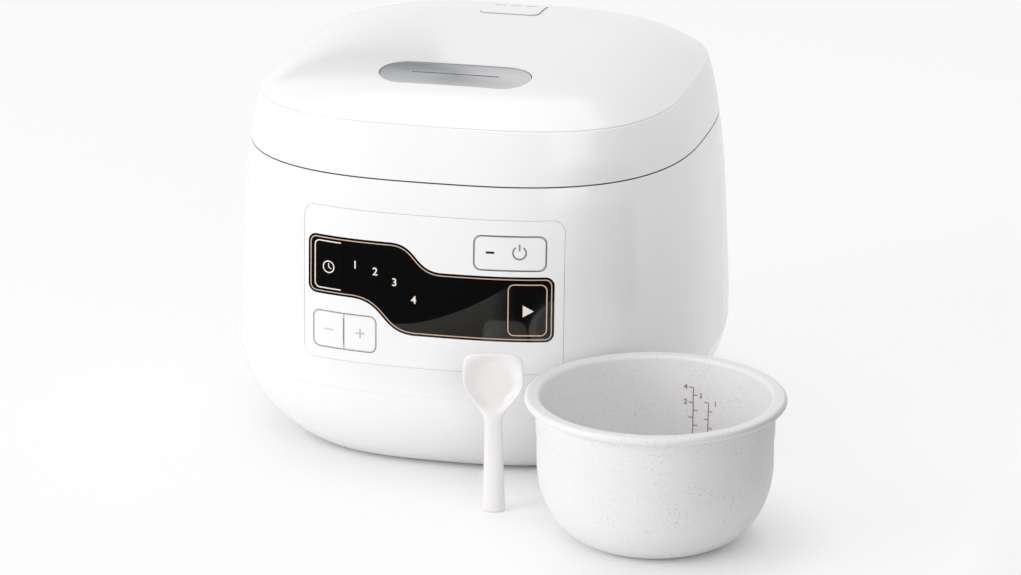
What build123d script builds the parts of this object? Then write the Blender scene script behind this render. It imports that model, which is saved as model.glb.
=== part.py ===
from build123d import *
import os
from functools import cache
from math import cos, pi, sin

# A compact electronic rice cooker with its inner pot and rice paddle standing beside it.
# Millimetres, +Z up, front towards -Y. The origin is the middle of the footprint, on the table.

# ---------------------------------------------------------------- body form
BODY_WIDTH = 250.0           # across the belly
BODY_DEPTH = 251.0           # front to back across the belly
FOOTPRINT_WIDTH = 179.0      # where the bowl would meet the table
BELLY_HEIGHT = 55.0          # height of the widest section
BOWL_FULLNESS = 1.2          # 1 is a parabola, 2 an ellipse
SIDE_DRAFT = 0.04            # inward lean of the wall above the belly
SHOULDER_TURN_IN = 10.0      # further inward sweep, nearly all of it near the shoulder
TURN_IN_RISE = 136.0         # height over which the sweep is complete
TURN_IN_POWER = 5.26
BODY_SQUARENESS = 2.8        # exponent of the superellipse, 2 is an ellipse
LID_SQUARENESS = 3.2
FOOT_HEIGHT = 2.5
PARTING_HEIGHT = 48.0        # lower bowl meets the upper wall
PARTING_GAP = 0.5
SEAM_HEIGHT = 160.0          # lid meets body
SEAM_GAP = 0.7
SHOULDER_HEIGHT = 187.5      # side band of the lid meets the crown
CROWN_RISE = 18.0
CROWN_POWER = 5.0            # 2 is a parabola; higher is flatter above and rounder at the edge
CREASE_WIDTH = 0.9           # shadow line between band and crown
CROWN_SHARES = (1, 0.95, 0.87, 0.75, 0.55, 0.35, 0.15, 0.04)  # sections of the dome
CROWN_ROUNDING = 0.9         # the dome's outline loses this much squareness towards its top
WALL = 3.0
LID_WALL = 2.6
SHELF_THICKNESS = 3.0        # inner shelf of the lid's band, under the crown
SHELF_REACH = 4.0
ASSEMBLY_FIT = 0.15          # between moulded parts that nest and don't move
LAP_DEPTH = 4.0              # tongue of the upper wall inside the lower bowl
LAP_THICKNESS = 1.4
OUTLINE_POINTS = 24          # points of each superellipse spline

# ---------------------------------------------------------------- inner pot and its well
POT_RIM_RADIUS = 65.0
POT_HEIGHT = 74.0
POT_WALL_RADIUS = 59.6       # outside, just under the flange
POT_WALL = 2.2
POT_FLANGE_THICKNESS = 4.0
POT_BASE_RADIUS = 30.0       # flat of the base
POT_BOWL_HEIGHT = 40.0       # height of the rounded part
POT_BEAD_HEIGHT = 54.0       # faint step round the outside
POT_BEAD = 0.4
POT_WALL_LEAN = 0.7
POT_PLACE = (126.0, -163.5)  # where it stands on the table

WELL_GAP = 1.4               # pot wall to well
RIM_GAP = 1.4                # pot flange to its recess
SEAT_DROP = 9.5              # seat of the flange below the seam
SEAT_THICKNESS = 1.7
DECK_DROP = 2.0              # deck below the seam
DECK_THICKNESS = 3.0
SKIRT_DEPTH = 12.0
SKIRT_WALL = 2.0
CUP_WALL = 2.5               # wall of the deck's recess round the pot flange
RIB_COUNT = 12
RIB_THICKNESS = 1.6
RIB_DEPTH = 5.0
LINER_THICKNESS = 0.8
LINER_FLOOR_DROP = 14.0      # floor of the well below the pot's base
LINER_FLOOR_HOLE = 20.0

# ---------------------------------------------------------------- heater
PLATE_RADIUS = 44.0
PLATE_THICKNESS = 10.0
PLATE_CLEARANCE = 0.3        # pot base to heating plate
PLATE_HOLE_RADIUS = 13.0
PLATE_FLAT_RADIUS = 30.0
ELEMENT_RADIUS = 33.0        # centre line of the cast-in element
ELEMENT_SECTION = 4.0
TERMINAL_RADIUS = 2.0
TERMINAL_LENGTH = 14.0
TERMINAL_SPREAD = 24.0       # degrees between the two
TERMINAL_ROOM = 1.5
POST_RADIUS = 3.0
POST_COUNT = 3
POST_CIRCLE = 38.0
SHIELD_DROP = 8.0            # heat shield below the floor of the well
SHIELD_RADIUS = 57.0
SENSOR_RADIUS = 11.0
SENSOR_PROUD = 2.0           # above the heating plate
SENSOR_HEIGHT = 9.0
SENSOR_SHEET = 1.0
SENSOR_EDGE = 1.2
SENSOR_SPRING_RADIUS = 7.5
SENSOR_CUP_RADIUS = 15.5
SENSOR_CUP_SHEET = 1.2
SENSOR_CUP_FLANGE = 3.0
SENSOR_CUP_DEPTH = 12.0

FUSE_RADIUS = 3.0
FUSE_LENGTH = 26.0
FUSE_RISE = 20.0             # above the floor of the well

# ---------------------------------------------------------------- control panel
PANEL_WIDTH = 136.0
PANEL_HEIGHT = 80.0
PANEL_CENTRE_HEIGHT = 103.5
PANEL_CORNER = 6.0
FASCIA_THICKNESS = 1.6
PANEL_LEDGE = 4.0            # rim of the recess that carries the fascia
PANEL_FIT = 0.15
KEY_GAP = 0.3
KEY_THICKNESS = 1.5
KEY_FLANGE = 1.0             # the cap is held by a flange behind its opening
PAIR_FLANGE = 0.1
KEY_FLANGE_THICKNESS = 1.0
KEY_TRAVEL = 0.5
KEY_CORNER = 3.5
PAIR_CORNER = 0.5            # corners of two keys where they meet
KEY_STEM_RADIUS = 2.0
STEM_AIR = 0.1               # stem to switch plunger when pressed home
WINDOW_CORNER = 4.5
WINDOW_FIT = 0.05
BOARD_Y = -104.0             # front face of the control board
BOARD_THICKNESS = 1.6
SWITCH_HEIGHT = 3.5
SWITCH_SIZE = 6.0
PLUNGER_RADIUS = 1.7
PLUNGER_LENGTH = 1.0
LAMP_SIZE = (3.0, 2.0, 2.0)
LAMP_SPOTS = ((-36.8, 11.4), (-26.0, 8.6), (-17.5, 3.6), (-8.5, -4.4), (31.2, 23.5))
DISPLAY_SIZE = (28.0, 7.0, 14.0)
DISPLAY_SPOT = (20.0, -6.0)
FRAME_WALL = 2.0
FRAME_MARGIN = 3.0           # frame outside the edge of the panel opening
FRAME_LUG = 8.5
FRAME_LUG_THICKNESS = 3.0

# ---------------------------------------------------------------- lid, hinge and latch
BARREL_RADIUS = 8.0
HINGE_Y = 110.0
HINGE_RISE = 8.0             # pivot above the seam
PIN_RADIUS = 2.0
PIN_FIT = 0.05
HINGE_CLEAR = 0.8            # lid cut-out to barrel
HINGE_HALF_WIDTH = 62.0
PIN_HALF_LENGTH = 50.0
KNUCKLE_RADIUS = 6.0
KNUCKLE_ARM = 3.5            # half the thickness of a knuckle's arm
KNUCKLE_OUTER = 45.0
KNUCKLE_INNER = 33.0
KNUCKLE_SIDE_GAP = 0.5
COVER_HALF_WIDTH = 22.0
COVER_SHEET = 1.6
SPRING_WIRE = 0.6
HINGE_SPRING_RADIUS = 3.6
HINGE_SPRING_LENGTH = 13.0   # of each of the two
HINGE_SPRING_TURNS = 5
HINGE_SPRING_APART = 4.0

LID_FLOOR = 2.4
LID_RIM_HEIGHT = 6.0         # upstand round the lid base
LID_RIM = 1.8
LID_RIB = 1.6
LID_RIB_ANGLES = (30, 150, 210, 330)
LID_BOSS_DROP = 2.1          # round boss of the lid base, below the lid's edge
LID_BOSS_RADIUS = 63.0
INNER_PLATE_RADIUS = 57.5
INNER_PLATE_SHEET = 1.0
PLATE_BEAD = 0.8
STEAM_HOLES = 6
STEAM_HOLE_RADIUS = 1.1
STEAM_CIRCLE = 3.4
STEAM_EDGE = 6.5             # steam holes' middle from the plate's edge
GASKET_RADIUS = 64.4
GASKET_LIP = 1.6
GASKET_AIR = 0.3

BUTTON_LENGTH = 79.0
BUTTON_WIDTH = 28.0
BUTTON_Y = -68.0
BUTTON_SUNK = 0.5
BUTTON_SHEET = 2.0
BUTTON_SKIRT = 1.6
BUTTON_GAP = 0.4
BUTTON_TRAVEL = 3.0
GROOVE_LENGTH = 46.0
GROOVE_WIDTH = 1.2
GROOVE_DEPTH = 0.6
COLLAR_WALL = 1.5            # round the button's opening, under the dome
COLLAR_LOW = 194.0
STEM_HALF_WIDTH = 7.0
STEM_LENGTH = 11.0           # front to back
WEDGE_AIR = 0.2
WEDGE_FOOT = 0.5             # lowest edge of the ramp above the slider's plate, beyond the travel
SLIDER_HALF_WIDTH = 12.0
SLIDER_THICKNESS = 2.5
SLIDER_RISE = 9.8            # underside of the slider above the lid's edge
SLIDER_TAIL = -45.0
RAIL_GAP = 0.3
RAIL_WALL = 2.0
RAIL_LIP = 1.5
RAIL_FRONT = -97.9
SPRING_ROOM = 16.0           # length of the latch spring's pocket
POST_RISE = 4.0              # button spring posts above the pressed stem
POST_INSET = 14.0            # button springs in from the ends of the button
HOOK_FRONT = -103.9
HOOK_THICKNESS = 3.0
HOOK_BARB = 2.4
HOOK_BARB_HEIGHT = 3.2
HOOK_ROOM = 1.5              # round the hook in the deck's slot
CATCH_AIR = 0.3
CATCH_THICKNESS = 1.5
CATCH_HALF_WIDTH = 14.0
COIL_SPRING_RADIUS = 4.0

VENT_WIDTH = 32.0
VENT_DEPTH = 28.0
VENT_FRONT = 46.0
VENT_CORNER = 4.5
VENT_PROUD = 0.5
VENT_GAP = 0.3
VENT_SHEET = 1.6
VENT_AIR = 0.1               # under the cap's floor
VENT_SLOT = (6.4, 1.8)
VENT_SLOT_PITCH = 8.6
VENT_SLOT_INSET = 7.8        # slots in from the cap's rear edge
POCKET_FLOOR = 192.0
POCKET_WALL = 1.5
DUCT_Y = 54.0
DUCT_RADIUS = 6.4
DUCT_WALL = 1.4
SPOUT_RADIUS = 5.8
SPOUT_WALL = 1.0
SPOUT_LENGTH = 12.0

# ---------------------------------------------------------------- base and electrics
BASE_FLOOR = 3.0
BASE_HOLE_RADIUS = 56.0
COVER_RADIUS = 64.0
COVER_THICKNESS = 1.8
VENT_SLOTS = 9
SLOT_WIDTH = 3.0
SLOT_PITCH = 8.0
FOOT_RADIUS = 8.0
FOOT_TAPER = 0.6
FOOT_PLACE = 54.0
SCREW_HEAD_RADIUS = 2.8
SCREW_RADIUS = 1.4
SCREW_HEAD = 1.6
POWER_BOARD_DEPTH = 64.0
BOARD_LIFT = 12.0            # power board above the floor of the base
STANDOFF_RADIUS = 3.0
TRANSFORMER_PLACE = (-34.0, -8.0)
TRANSFORMER_CORE = (26.0, 22.0, 18.0)
TRANSFORMER_BOBBIN = (18.0, 30.0, 14.0)
RELAY_PLACE = (4.0, 16.0)
RELAY_SIZE = (20.0, 15.0, 15.0)
TERMINALS_PLACE = (44.0, 0.0)
TERMINALS_SIZE = (10.0, 40.0, 10.0)
TERMINALS_COUNT = 4
TERMINALS_WELL = 2.2
CAPACITORS = ((5.0, 14.0, 2.0, -16.0), (4.0, 11.0, 16.0, -18.0))  # radius, height, place
INLET_HEIGHT = 70.0
INLET_WIDTH = 30.0
INLET_TALL = 22.0
INLET_DEPTH = 20.0
INLET_FLANGE = 3.0
INLET_FLANGE_THICKNESS = 2.0
INLET_SUNK = 0.4             # back of the flange inside the body's widest face
INLET_CORNER = 2.5
INLET_KEYING = 4.0           # chamfer of the cavity's upper corners
INLET_CAVITY = (23.4, 15.4, 16.0)
PIN_SIZE = (2.0, 12.0, 4.0)
PIN_PITCH = 7.0
PIN_DROP = 2.0

# ---------------------------------------------------------------- rice paddle
PADDLE_PLACE = (40.0, -150.0)
PADDLE_TURN = 10.0
PADDLE_HEIGHT = 84.0
BLADE_WIDTH = 31.0
BLADE_HEIGHT = 35.0
BLADE_SHEET = 1.8
BLADE_BOWL_RADIUS = 36.0
BLADE_ROOT = 4.0             # blade and handle overlap by this much each way
BLADE_CORNER = 4.0
HANDLE_FOOT = (11.8, 10.0)
HANDLE_NECK = (8.6, 6.4)

FRONT = -BODY_DEPTH          # a plane well in front of the body, for cutting tools
FACE_OFFSET = (BODY_DEPTH - BODY_WIDTH) / 2
CROWN_TOP = SHOULDER_HEIGHT + CROWN_RISE
LID_EDGE = SEAM_HEIGHT + SEAM_GAP
DECK_TOP = SEAM_HEIGHT - DECK_DROP
DECK_UNDERSIDE = DECK_TOP - DECK_THICKNESS
SEAT = SEAM_HEIGHT - SEAT_DROP
POT_FLANGE_UNDERSIDE = POT_HEIGHT - POT_FLANGE_THICKNESS
SEATED_POT_BASE = SEAT - POT_FLANGE_UNDERSIDE
PLATE_TOP = SEATED_POT_BASE - PLATE_CLEARANCE
PLATE_UNDERSIDE = PLATE_TOP - PLATE_THICKNESS
PLATE_WEB_LOW = PLATE_UNDERSIDE + PLATE_THICKNESS * 0.3
LINER_FLOOR = SEATED_POT_BASE - LINER_FLOOR_DROP
LINER_RADIUS = POT_WALL_RADIUS + WELL_GAP
RECESS_RADIUS = POT_RIM_RADIUS + RIM_GAP
SHIELD_TOP = LINER_FLOOR - SHIELD_DROP
HINGE_Z = SEAM_HEIGHT + HINGE_RISE
PLATE_UPPER = LID_EDGE - LID_BOSS_DROP
PLATE_LOWER = PLATE_UPPER - INNER_PLATE_SHEET
BASE_UNDERSIDE = FOOT_HEIGHT
BASE_TOP = BASE_UNDERSIDE + BASE_FLOOR
BOARD_TOP = BASE_TOP + BOARD_LIFT + BOARD_THICKNESS
INLET_FACE = BODY_DEPTH / 2 + INLET_FLANGE_THICKNESS - INLET_SUNK


# ---------------------------------------------------------------- form of the body
def half_width(z):
    """Half the outside width at a height: a rounded bowl, then a leaning wall that turns in."""
    widest = BODY_WIDTH / 2
    if z < BELLY_HEIGHT:
        fraction = 1 - ((BELLY_HEIGHT - z) / BELLY_HEIGHT) ** 2
        foot = FOOTPRINT_WIDTH / 2
        return foot + (widest - foot) * fraction ** (1 / BOWL_FULLNESS)
    rise = z - BELLY_HEIGHT
    turn_in = (rise / TURN_IN_RISE) ** TURN_IN_POWER
    return widest - SIDE_DRAFT * rise - SHOULDER_TURN_IN * turn_in


def squareness(z):
    """Exponent of the outline at a height; the lid is a little squarer than the body."""
    share = (z - SEAM_HEIGHT) / (SHOULDER_HEIGHT - SEAM_HEIGHT)
    return BODY_SQUARENESS + (LID_SQUARENESS - BODY_SQUARENESS) * min(max(share, 0), 1)


def outline(half_x, half_y, exponent, z):
    """A closed superellipse wire at height z."""
    points = []
    for step in range(OUTLINE_POINTS):
        angle = 2 * pi * step / OUTLINE_POINTS
        across, along = cos(angle), sin(angle)
        reach = (abs(across) ** exponent + abs(along) ** exponent) ** (-1 / exponent)
        points.append(Vector(half_x * reach * across, half_y * reach * along, z))
    return Wire([Edge.make_spline(points, periodic=True)])


def hull(low, high, inset=0.0, sections=5):
    """Solid inside the body's side surface, between two heights, moved in by inset."""
    wires = []
    for step in range(sections):
        z = low + (high - low) * step / (sections - 1)
        half_x = half_width(z) - inset
        wires.append(outline(half_x, half_x + FACE_OFFSET, squareness(z), z))
    return Solid.make_loft(wires)


def reach_at(degrees, z, inset=0.0):
    """Distance from the middle to the side surface, in a direction and at a height."""
    half_x = half_width(z) - inset
    across, along = polar(1, degrees)
    power = squareness(z)
    return (abs(across / half_x) ** power + abs(along / (half_x + FACE_OFFSET)) ** power) ** (-1 / power)


def back_at(x, z, inset=0.0):
    """Y of the back surface at a place across and a height."""
    half_x = half_width(z) - inset
    power = squareness(z)
    return (half_x + FACE_OFFSET) * (1 - (abs(x) / half_x) ** power) ** (1 / power)


@cache
def crown(drop=0.0):
    """The domed top of the lid as a solid, lowered by drop."""
    edge = half_width(SHOULDER_HEIGHT)
    wires = []
    for share in CROWN_SHARES:
        z = SHOULDER_HEIGHT + CROWN_RISE * (1 - share ** CROWN_POWER) - drop
        exponent = LID_SQUARENESS - CROWN_ROUNDING * (1 - share)
        wires.append(outline(edge * share, (edge + FACE_OFFSET) * share, exponent, z))
    return Solid.make_loft(wires)


def crown_height(y):
    """Height of the domed top on the centre line."""
    edge = half_width(SHOULDER_HEIGHT) + FACE_OFFSET
    return SHOULDER_HEIGHT + CROWN_RISE * (1 - abs(y / edge) ** CROWN_POWER)


# ---------------------------------------------------------------- small helpers
def block(x, y, z):
    """A box from three (low, high) pairs."""
    size = Box(x[1] - x[0], y[1] - y[0], z[1] - z[0], align=(Align.MIN, Align.MIN, Align.MIN))
    return Pos(x[0], y[0], z[0]) * size


def rod(radius, low, high, x=0.0, y=0.0):
    """An upright cylinder between two heights."""
    base = (Align.CENTER, Align.CENTER, Align.MIN)
    return Pos(x, y, low) * Cylinder(radius, high - low, align=base)


def tube(outer, inner, low, high, x=0.0, y=0.0):
    """An upright tube between two heights."""
    return rod(outer, low, high, x, y) - rod(inner, low - 1, high + 1, x, y)


def bar(radius, low, high, y, z):
    """A cylinder along X between two places."""
    return Pos((low + high) / 2, y, z) * Rot(0, 90, 0) * Cylinder(radius, high - low)


def prism(sketch, low, high):
    """A sketch drawn on the table plane, raised between two heights."""
    return extrude(Pos(0, 0, low) * sketch, high - low)


def punch(sketch, depth=None):
    """A sketch drawn in front view (x, height), as a cutting tool through the front wall."""
    front = Plane((0, FRONT, 0), x_dir=(1, 0, 0), z_dir=(0, -1, 0))
    return extrude(front * sketch, -(depth or BODY_DEPTH * 0.85))


def spun(*points):
    """A solid turned about the Z axis from a closed outline of (radius, height) points."""
    face = make_face(Plane.XZ * Polyline(*points, close=True))
    return revolve(face, Axis.Z)


def coil(radius, wire, height, turns):
    """A coil spring standing on the XY plane, without its end legs."""
    path = Helix(pitch=height / turns, height=height, radius=radius)
    start = path @ 0
    section = Plane(origin=start, z_dir=path % 0) * Circle(wire)
    return sweep(section, path)


def around(count, first=0.0):
    """Angles, in degrees, of pieces spaced evenly round a circle."""
    return [first + 360 * step / count for step in range(count)]


def polar(radius, degrees):
    """X and Y of a point on a circle."""
    return radius * cos(degrees * pi / 180), radius * sin(degrees * pi / 180)


def one(shape):
    """The single solid of a result."""
    solids = shape.solids()
    return max(solids, key=lambda solid: solid.volume)


# ---------------------------------------------------------------- control panel outlines
def rounded(left, right, low, high, corner, grow=0.0):
    """A rounded rectangle in front view, made larger all round by grow."""
    width, tall = right - left + 2 * grow, high - low + 2 * grow
    middle = Pos((left + right) / 2, (low + high) / 2)
    return middle * RectangleRounded(width, tall, corner + grow)


PANEL_LOW = PANEL_CENTRE_HEIGHT - PANEL_HEIGHT / 2
PANEL_HIGH = PANEL_CENTRE_HEIGHT + PANEL_HEIGHT / 2
WINDOW_LEFT, WINDOW_RIGHT = -65.5, 63.5
WINDOW_STEP = 17.0           # the right block sits this much lower than the left
WINDOW_LEFT_LOW = PANEL_CENTRE_HEIGHT - 6.0
WINDOW_LEFT_HIGH = PANEL_CENTRE_HEIGHT + 25.0
WINDOW_RIGHT_HIGH = PANEL_CENTRE_HEIGHT + 11.0
UPPER_SWEEP = (-21.0, 7.0)   # x where the upper edge starts and ends its fall
LOWER_SWEEP = (-42.0, -7.0)
SWEEP_EASE = 1.5             # how level the sweeps start and end
KEY_BOXES = {
    "preset_key": (-62.0, -46.0, PANEL_CENTRE_HEIGHT - 2.5, PANEL_CENTRE_HEIGHT + 21.5),
    "function_key": (40.3, 60.3, PANEL_CENTRE_HEIGHT - 20.0, PANEL_CENTRE_HEIGHT + 7.5),
    "hour_key": (-62.5, -45.6, PANEL_CENTRE_HEIGHT - 34.0, PANEL_CENTRE_HEIGHT - 15.0),
    "minute_key": (-45.2, -28.0, PANEL_CENTRE_HEIGHT - 34.0, PANEL_CENTRE_HEIGHT - 15.0),
    "keep_warm_key": (23.0, 59.3, PANEL_CENTRE_HEIGHT + 14.2, PANEL_CENTRE_HEIGHT + 32.0),
}
WINDOW_KEYS = ("preset_key", "function_key")
PAIRED_KEYS = ("hour_key", "minute_key")  # side by side, so their flanges stay narrow


def window_outline(grow=0.0):
    """The S-shaped window: a left block, a falling sweep and a lower, taller right block."""
    left, right = WINDOW_LEFT - grow, WINDOW_RIGHT + grow
    left_low, left_high = WINDOW_LEFT_LOW - grow, WINDOW_LEFT_HIGH + grow
    right_low, right_high = left_low - WINDOW_STEP, WINDOW_RIGHT_HIGH + grow
    upper_start, upper_end = (UPPER_SWEEP[0], left_high), (UPPER_SWEEP[1], right_high)
    lower_start, lower_end = (LOWER_SWEEP[1], right_low), (LOWER_SWEEP[0], left_low)
    ease = (SWEEP_EASE, SWEEP_EASE)
    upper = Spline(upper_start, upper_end, tangents=((1, 0), (1, 0)), tangent_scalars=ease)
    lower = Spline(lower_start, lower_end, tangents=((-1, 0), (-1, 0)), tangent_scalars=ease)
    right_side = Polyline(upper_end, (right, right_high), (right, right_low), lower_start)
    left_side = Polyline(lower_end, (left, left_low), (left, left_high), upper_start)
    face = make_face(upper + right_side + lower + left_side)
    ends = face.vertices().group_by(Axis.X)
    return fillet(ends[0] + ends[-1], WINDOW_CORNER + grow)


def key_outline(name, grow=0.0):
    """Outline of a key's cap; a pair of keys is square where the two meet."""
    left, right, low, high = KEY_BOXES[name]
    outline = rounded(left, right, low, high, KEY_CORNER, grow)
    middle = (left + right) / 2
    if name == PAIRED_KEYS[0]:
        outline += rounded(middle, right, low, high, PAIR_CORNER, grow)
    if name == PAIRED_KEYS[1]:
        outline += rounded(left, middle, low, high, PAIR_CORNER, grow)
    return outline


@cache
def front_sheet(outer, inner):
    """The front wall between two insets, a little larger than the panel."""
    half = PANEL_WIDTH / 2 + PANEL_LEDGE
    low, high = PANEL_LOW - PANEL_LEDGE, PANEL_HIGH + PANEL_LEDGE
    front = block((-half, half), (FRONT, -BODY_DEPTH / 4), (low + 1, high - 1))
    return (front & hull(low, high, outer, 4)) - hull(low, high, inner, 4)


def skin(sketch, outer, inner):
    """A curved sheet of the front wall under a front-view sketch, between two insets."""
    return front_sheet(outer, inner) & punch(sketch)


# ---------------------------------------------------------------- housings
def make_body_shell():
    """Upper wall of the body, with the panel recess, the inlet opening and a lap tongue below."""
    low = PARTING_HEIGHT + PARTING_GAP
    shell = hull(low, SEAM_HEIGHT) - hull(low - 1, SEAM_HEIGHT + 1, WALL)
    tongue_low = PARTING_HEIGHT - LAP_DEPTH
    tongue = hull(tongue_low, low + 2, WALL - LAP_THICKNESS, 3) - hull(tongue_low - 1, low + 3, WALL, 3)
    shell = shell + tongue
    recess = punch(panel_outline(PANEL_FIT), BODY_DEPTH)
    recess = recess - hull(PANEL_LOW - PANEL_LEDGE, PANEL_HIGH + PANEL_LEDGE, FASCIA_THICKNESS + WINDOW_FIT)
    return shell - [recess, punch(panel_opening()), inlet_opening()]


def panel_outline(grow=0.0):
    half = PANEL_WIDTH / 2
    return rounded(-half, half, PANEL_LOW, PANEL_HIGH, PANEL_CORNER, grow)


def panel_opening():
    return panel_outline(-PANEL_LEDGE)


def inlet_opening():
    half = INLET_WIDTH / 2 - INLET_FLANGE + ASSEMBLY_FIT
    tall = INLET_TALL / 2 - INLET_FLANGE + ASSEMBLY_FIT
    return block((-half, half), (BODY_DEPTH / 3, BODY_DEPTH), (INLET_HEIGHT - tall, INLET_HEIGHT + tall))


def make_base_shell():
    """Lower bowl: rounded wall, floor with the service opening, rebate for the lap, bosses."""
    bowl = hull(BASE_UNDERSIDE, PARTING_HEIGHT, 0, 8) - hull(BASE_TOP, PARTING_HEIGHT + 1, WALL, 8)
    rebate_low = PARTING_HEIGHT - LAP_DEPTH - ASSEMBLY_FIT
    rebate = hull(rebate_low, PARTING_HEIGHT + 1, WALL - LAP_THICKNESS - ASSEMBLY_FIT, 3)
    opening = rod(BASE_HOLE_RADIUS, 0, BASE_TOP + 1)
    step = rod(COVER_RADIUS + ASSEMBLY_FIT, 0, BASE_UNDERSIDE + COVER_THICKNESS)
    holes = [rod(SCREW_RADIUS, 0, BASE_TOP + 1, x, y) for x, y in foot_places() + cover_screw_places()]
    board_low = BASE_TOP + BOARD_LIFT
    standoffs = [rod(STANDOFF_RADIUS, BASE_TOP - 1, board_low, x, y) for x, y in standoff_places()]
    return bowl - [rebate, opening, step, *holes] + standoffs


def foot_places():
    return [(sx * FOOT_PLACE, sy * FOOT_PLACE) for sx in (-1, 1) for sy in (-1, 1)]


def cover_screw_places():
    radius = (BASE_HOLE_RADIUS + COVER_RADIUS) / 2
    return [polar(radius, angle) for angle in around(4)]


def standoff_places():
    across, along = BASE_HOLE_RADIUS + STANDOFF_RADIUS + 1, POWER_BOARD_DEPTH / 2 - 2 * STANDOFF_RADIUS
    return [(sx * across, sy * along) for sx in (-1, 1) for sy in (-1, 1)]


def make_base_cover():
    """Round service cover, seated in its step in the floor, with air slots."""
    cover = rod(COVER_RADIUS, BASE_UNDERSIDE, BASE_UNDERSIDE + COVER_THICKNESS)
    cuts = [rod(SCREW_RADIUS, 0, BASE_TOP, x, y) for x, y in cover_screw_places()]
    for step in range(VENT_SLOTS):
        y = (step - (VENT_SLOTS - 1) / 2) * SLOT_PITCH
        reach = (BASE_HOLE_RADIUS ** 2 - y ** 2) ** 0.5 - SLOT_PITCH
        cuts.append(prism(Pos(0, y) * SlotOverall(2 * reach, SLOT_WIDTH), 0, BASE_TOP))
    return cover - cuts


def screw(x, y, head_top, length):
    """A pan-head screw driven upwards: its head below, its shank above."""
    head = rod(SCREW_HEAD_RADIUS, head_top - SCREW_HEAD, head_top, x, y)
    return head + rod(SCREW_RADIUS, head_top - 0.5, head_top + length, x, y)


def make_base_screws():
    length = BASE_FLOOR - 0.2
    return [screw(x, y, BASE_UNDERSIDE, length) for x, y in cover_screw_places()]


def make_feet():
    """Rubber feet: a tapered pad with a stud pushed into the floor."""
    feet = []
    for x, y in foot_places():
        base = (Align.CENTER, Align.CENTER, Align.MIN)
        pad = Pos(x, y, 0) * Cone(FOOT_RADIUS - FOOT_TAPER, FOOT_RADIUS, FOOT_HEIGHT, align=base)
        feet.append(pad + rod(SCREW_RADIUS, FOOT_HEIGHT / 2, BASE_TOP, x, y))
    return feet


def make_top_ring():
    """Deck round the well: pot seat, ribs, skirt, hinge towers and the latch slot."""
    inset = WALL + ASSEMBLY_FIT
    skirt_low = DECK_UNDERSIDE - SKIRT_DEPTH
    ring = hull(skirt_low, DECK_TOP, inset, 3) - hull(skirt_low - 1, DECK_UNDERSIDE, inset + SKIRT_WALL, 3)
    additions = [rod(RECESS_RADIUS + CUP_WALL, SEAT - SEAT_THICKNESS, DECK_TOP)]
    for angle in around(RIB_COUNT, 180 / RIB_COUNT):
        far = reach_at(angle, DECK_UNDERSIDE, inset + SKIRT_WALL / 2)
        rib = block((RECESS_RADIUS + 1, far), (-RIB_THICKNESS / 2, RIB_THICKNESS / 2),
                    (DECK_UNDERSIDE - RIB_DEPTH, DECK_UNDERSIDE + 1))
        additions.append(Rot(0, 0, angle) * rib)
    for low, high in tower_spans():
        additions += [rear_hood(low, high, BARREL_RADIUS), rear_foot(low, high)]
    pin_hole = bar(PIN_RADIUS, -PIN_HALF_LENGTH, PIN_HALF_LENGTH, HINGE_Y, HINGE_Z)
    recess = rod(RECESS_RADIUS, SEAT, DECK_TOP + 1)
    bore = rod(LINER_RADIUS, SEAT - SEAT_THICKNESS - 1, SEAT + 1)
    return ring + additions - [recess, bore, latch_slot(), pin_hole]


def tower_spans():
    inner = (COVER_HALF_WIDTH, KNUCKLE_INNER - KNUCKLE_SIDE_GAP)
    outer = (KNUCKLE_OUTER + KNUCKLE_SIDE_GAP, HINGE_HALF_WIDTH)
    return [(-outer[1], -outer[0]), (-inner[1], -inner[0]), inner, outer]


def rear_hood(low, high, radius):
    """A stretch of the rear hinge housing above the seam: a barrel on a web, flush with the body."""
    foot = SEAM_HEIGHT + ASSEMBLY_FIT
    web = block((low, high), (HINGE_Y - radius, BODY_DEPTH), (foot, HINGE_Z))
    return (web + bar(radius, low, high, HINGE_Y, HINGE_Z)) & rear_slab(BARREL_RADIUS - radius)


@cache
def rear_slab(inset):
    """The back of the lid's outline, as a tool to cut the hinge housing flush."""
    half, top = HINGE_HALF_WIDTH + 1, HINGE_Z + 2 * BARREL_RADIUS
    slab = block((-half, half), (HINGE_Y - 2 * BARREL_RADIUS, BODY_DEPTH), (SEAM_HEIGHT, top))
    return slab & hull(SEAM_HEIGHT, top, inset, 3)


def rear_foot(low, high):
    """The part of a hinge tower below the seam, standing on the deck inside the wall."""
    back = back_at(max(abs(low), abs(high)), SEAM_HEIGHT, WALL + 2 * ASSEMBLY_FIT)
    return block((low, high), (HINGE_Y - BARREL_RADIUS, back), (DECK_TOP - 1, SEAM_HEIGHT + 1))


def make_hinge_cover():
    """Hood over the middle of the hinge, hollow round the torsion spring, with a front apron."""
    half, wide = COVER_HALF_WIDTH, COVER_HALF_WIDTH + 1
    front = HINGE_Y - BARREL_RADIUS
    hood = rear_hood(-half, half, BARREL_RADIUS) - rear_hood(-wide, wide, BARREL_RADIUS - COVER_SHEET)
    behind = (front + COVER_SHEET, HINGE_Y + BARREL_RADIUS / 2)
    room = block((-wide, wide), behind, (SEAM_HEIGHT, HINGE_Z - BARREL_RADIUS / 2))
    apron = block((-half, half), (front, front + COVER_SHEET), (DECK_TOP, SEAM_HEIGHT + 1))
    return hood - room + apron


def make_hinge_pin():
    return bar(PIN_RADIUS, -PIN_HALF_LENGTH, PIN_HALF_LENGTH, HINGE_Y, HINGE_Z)


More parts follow.
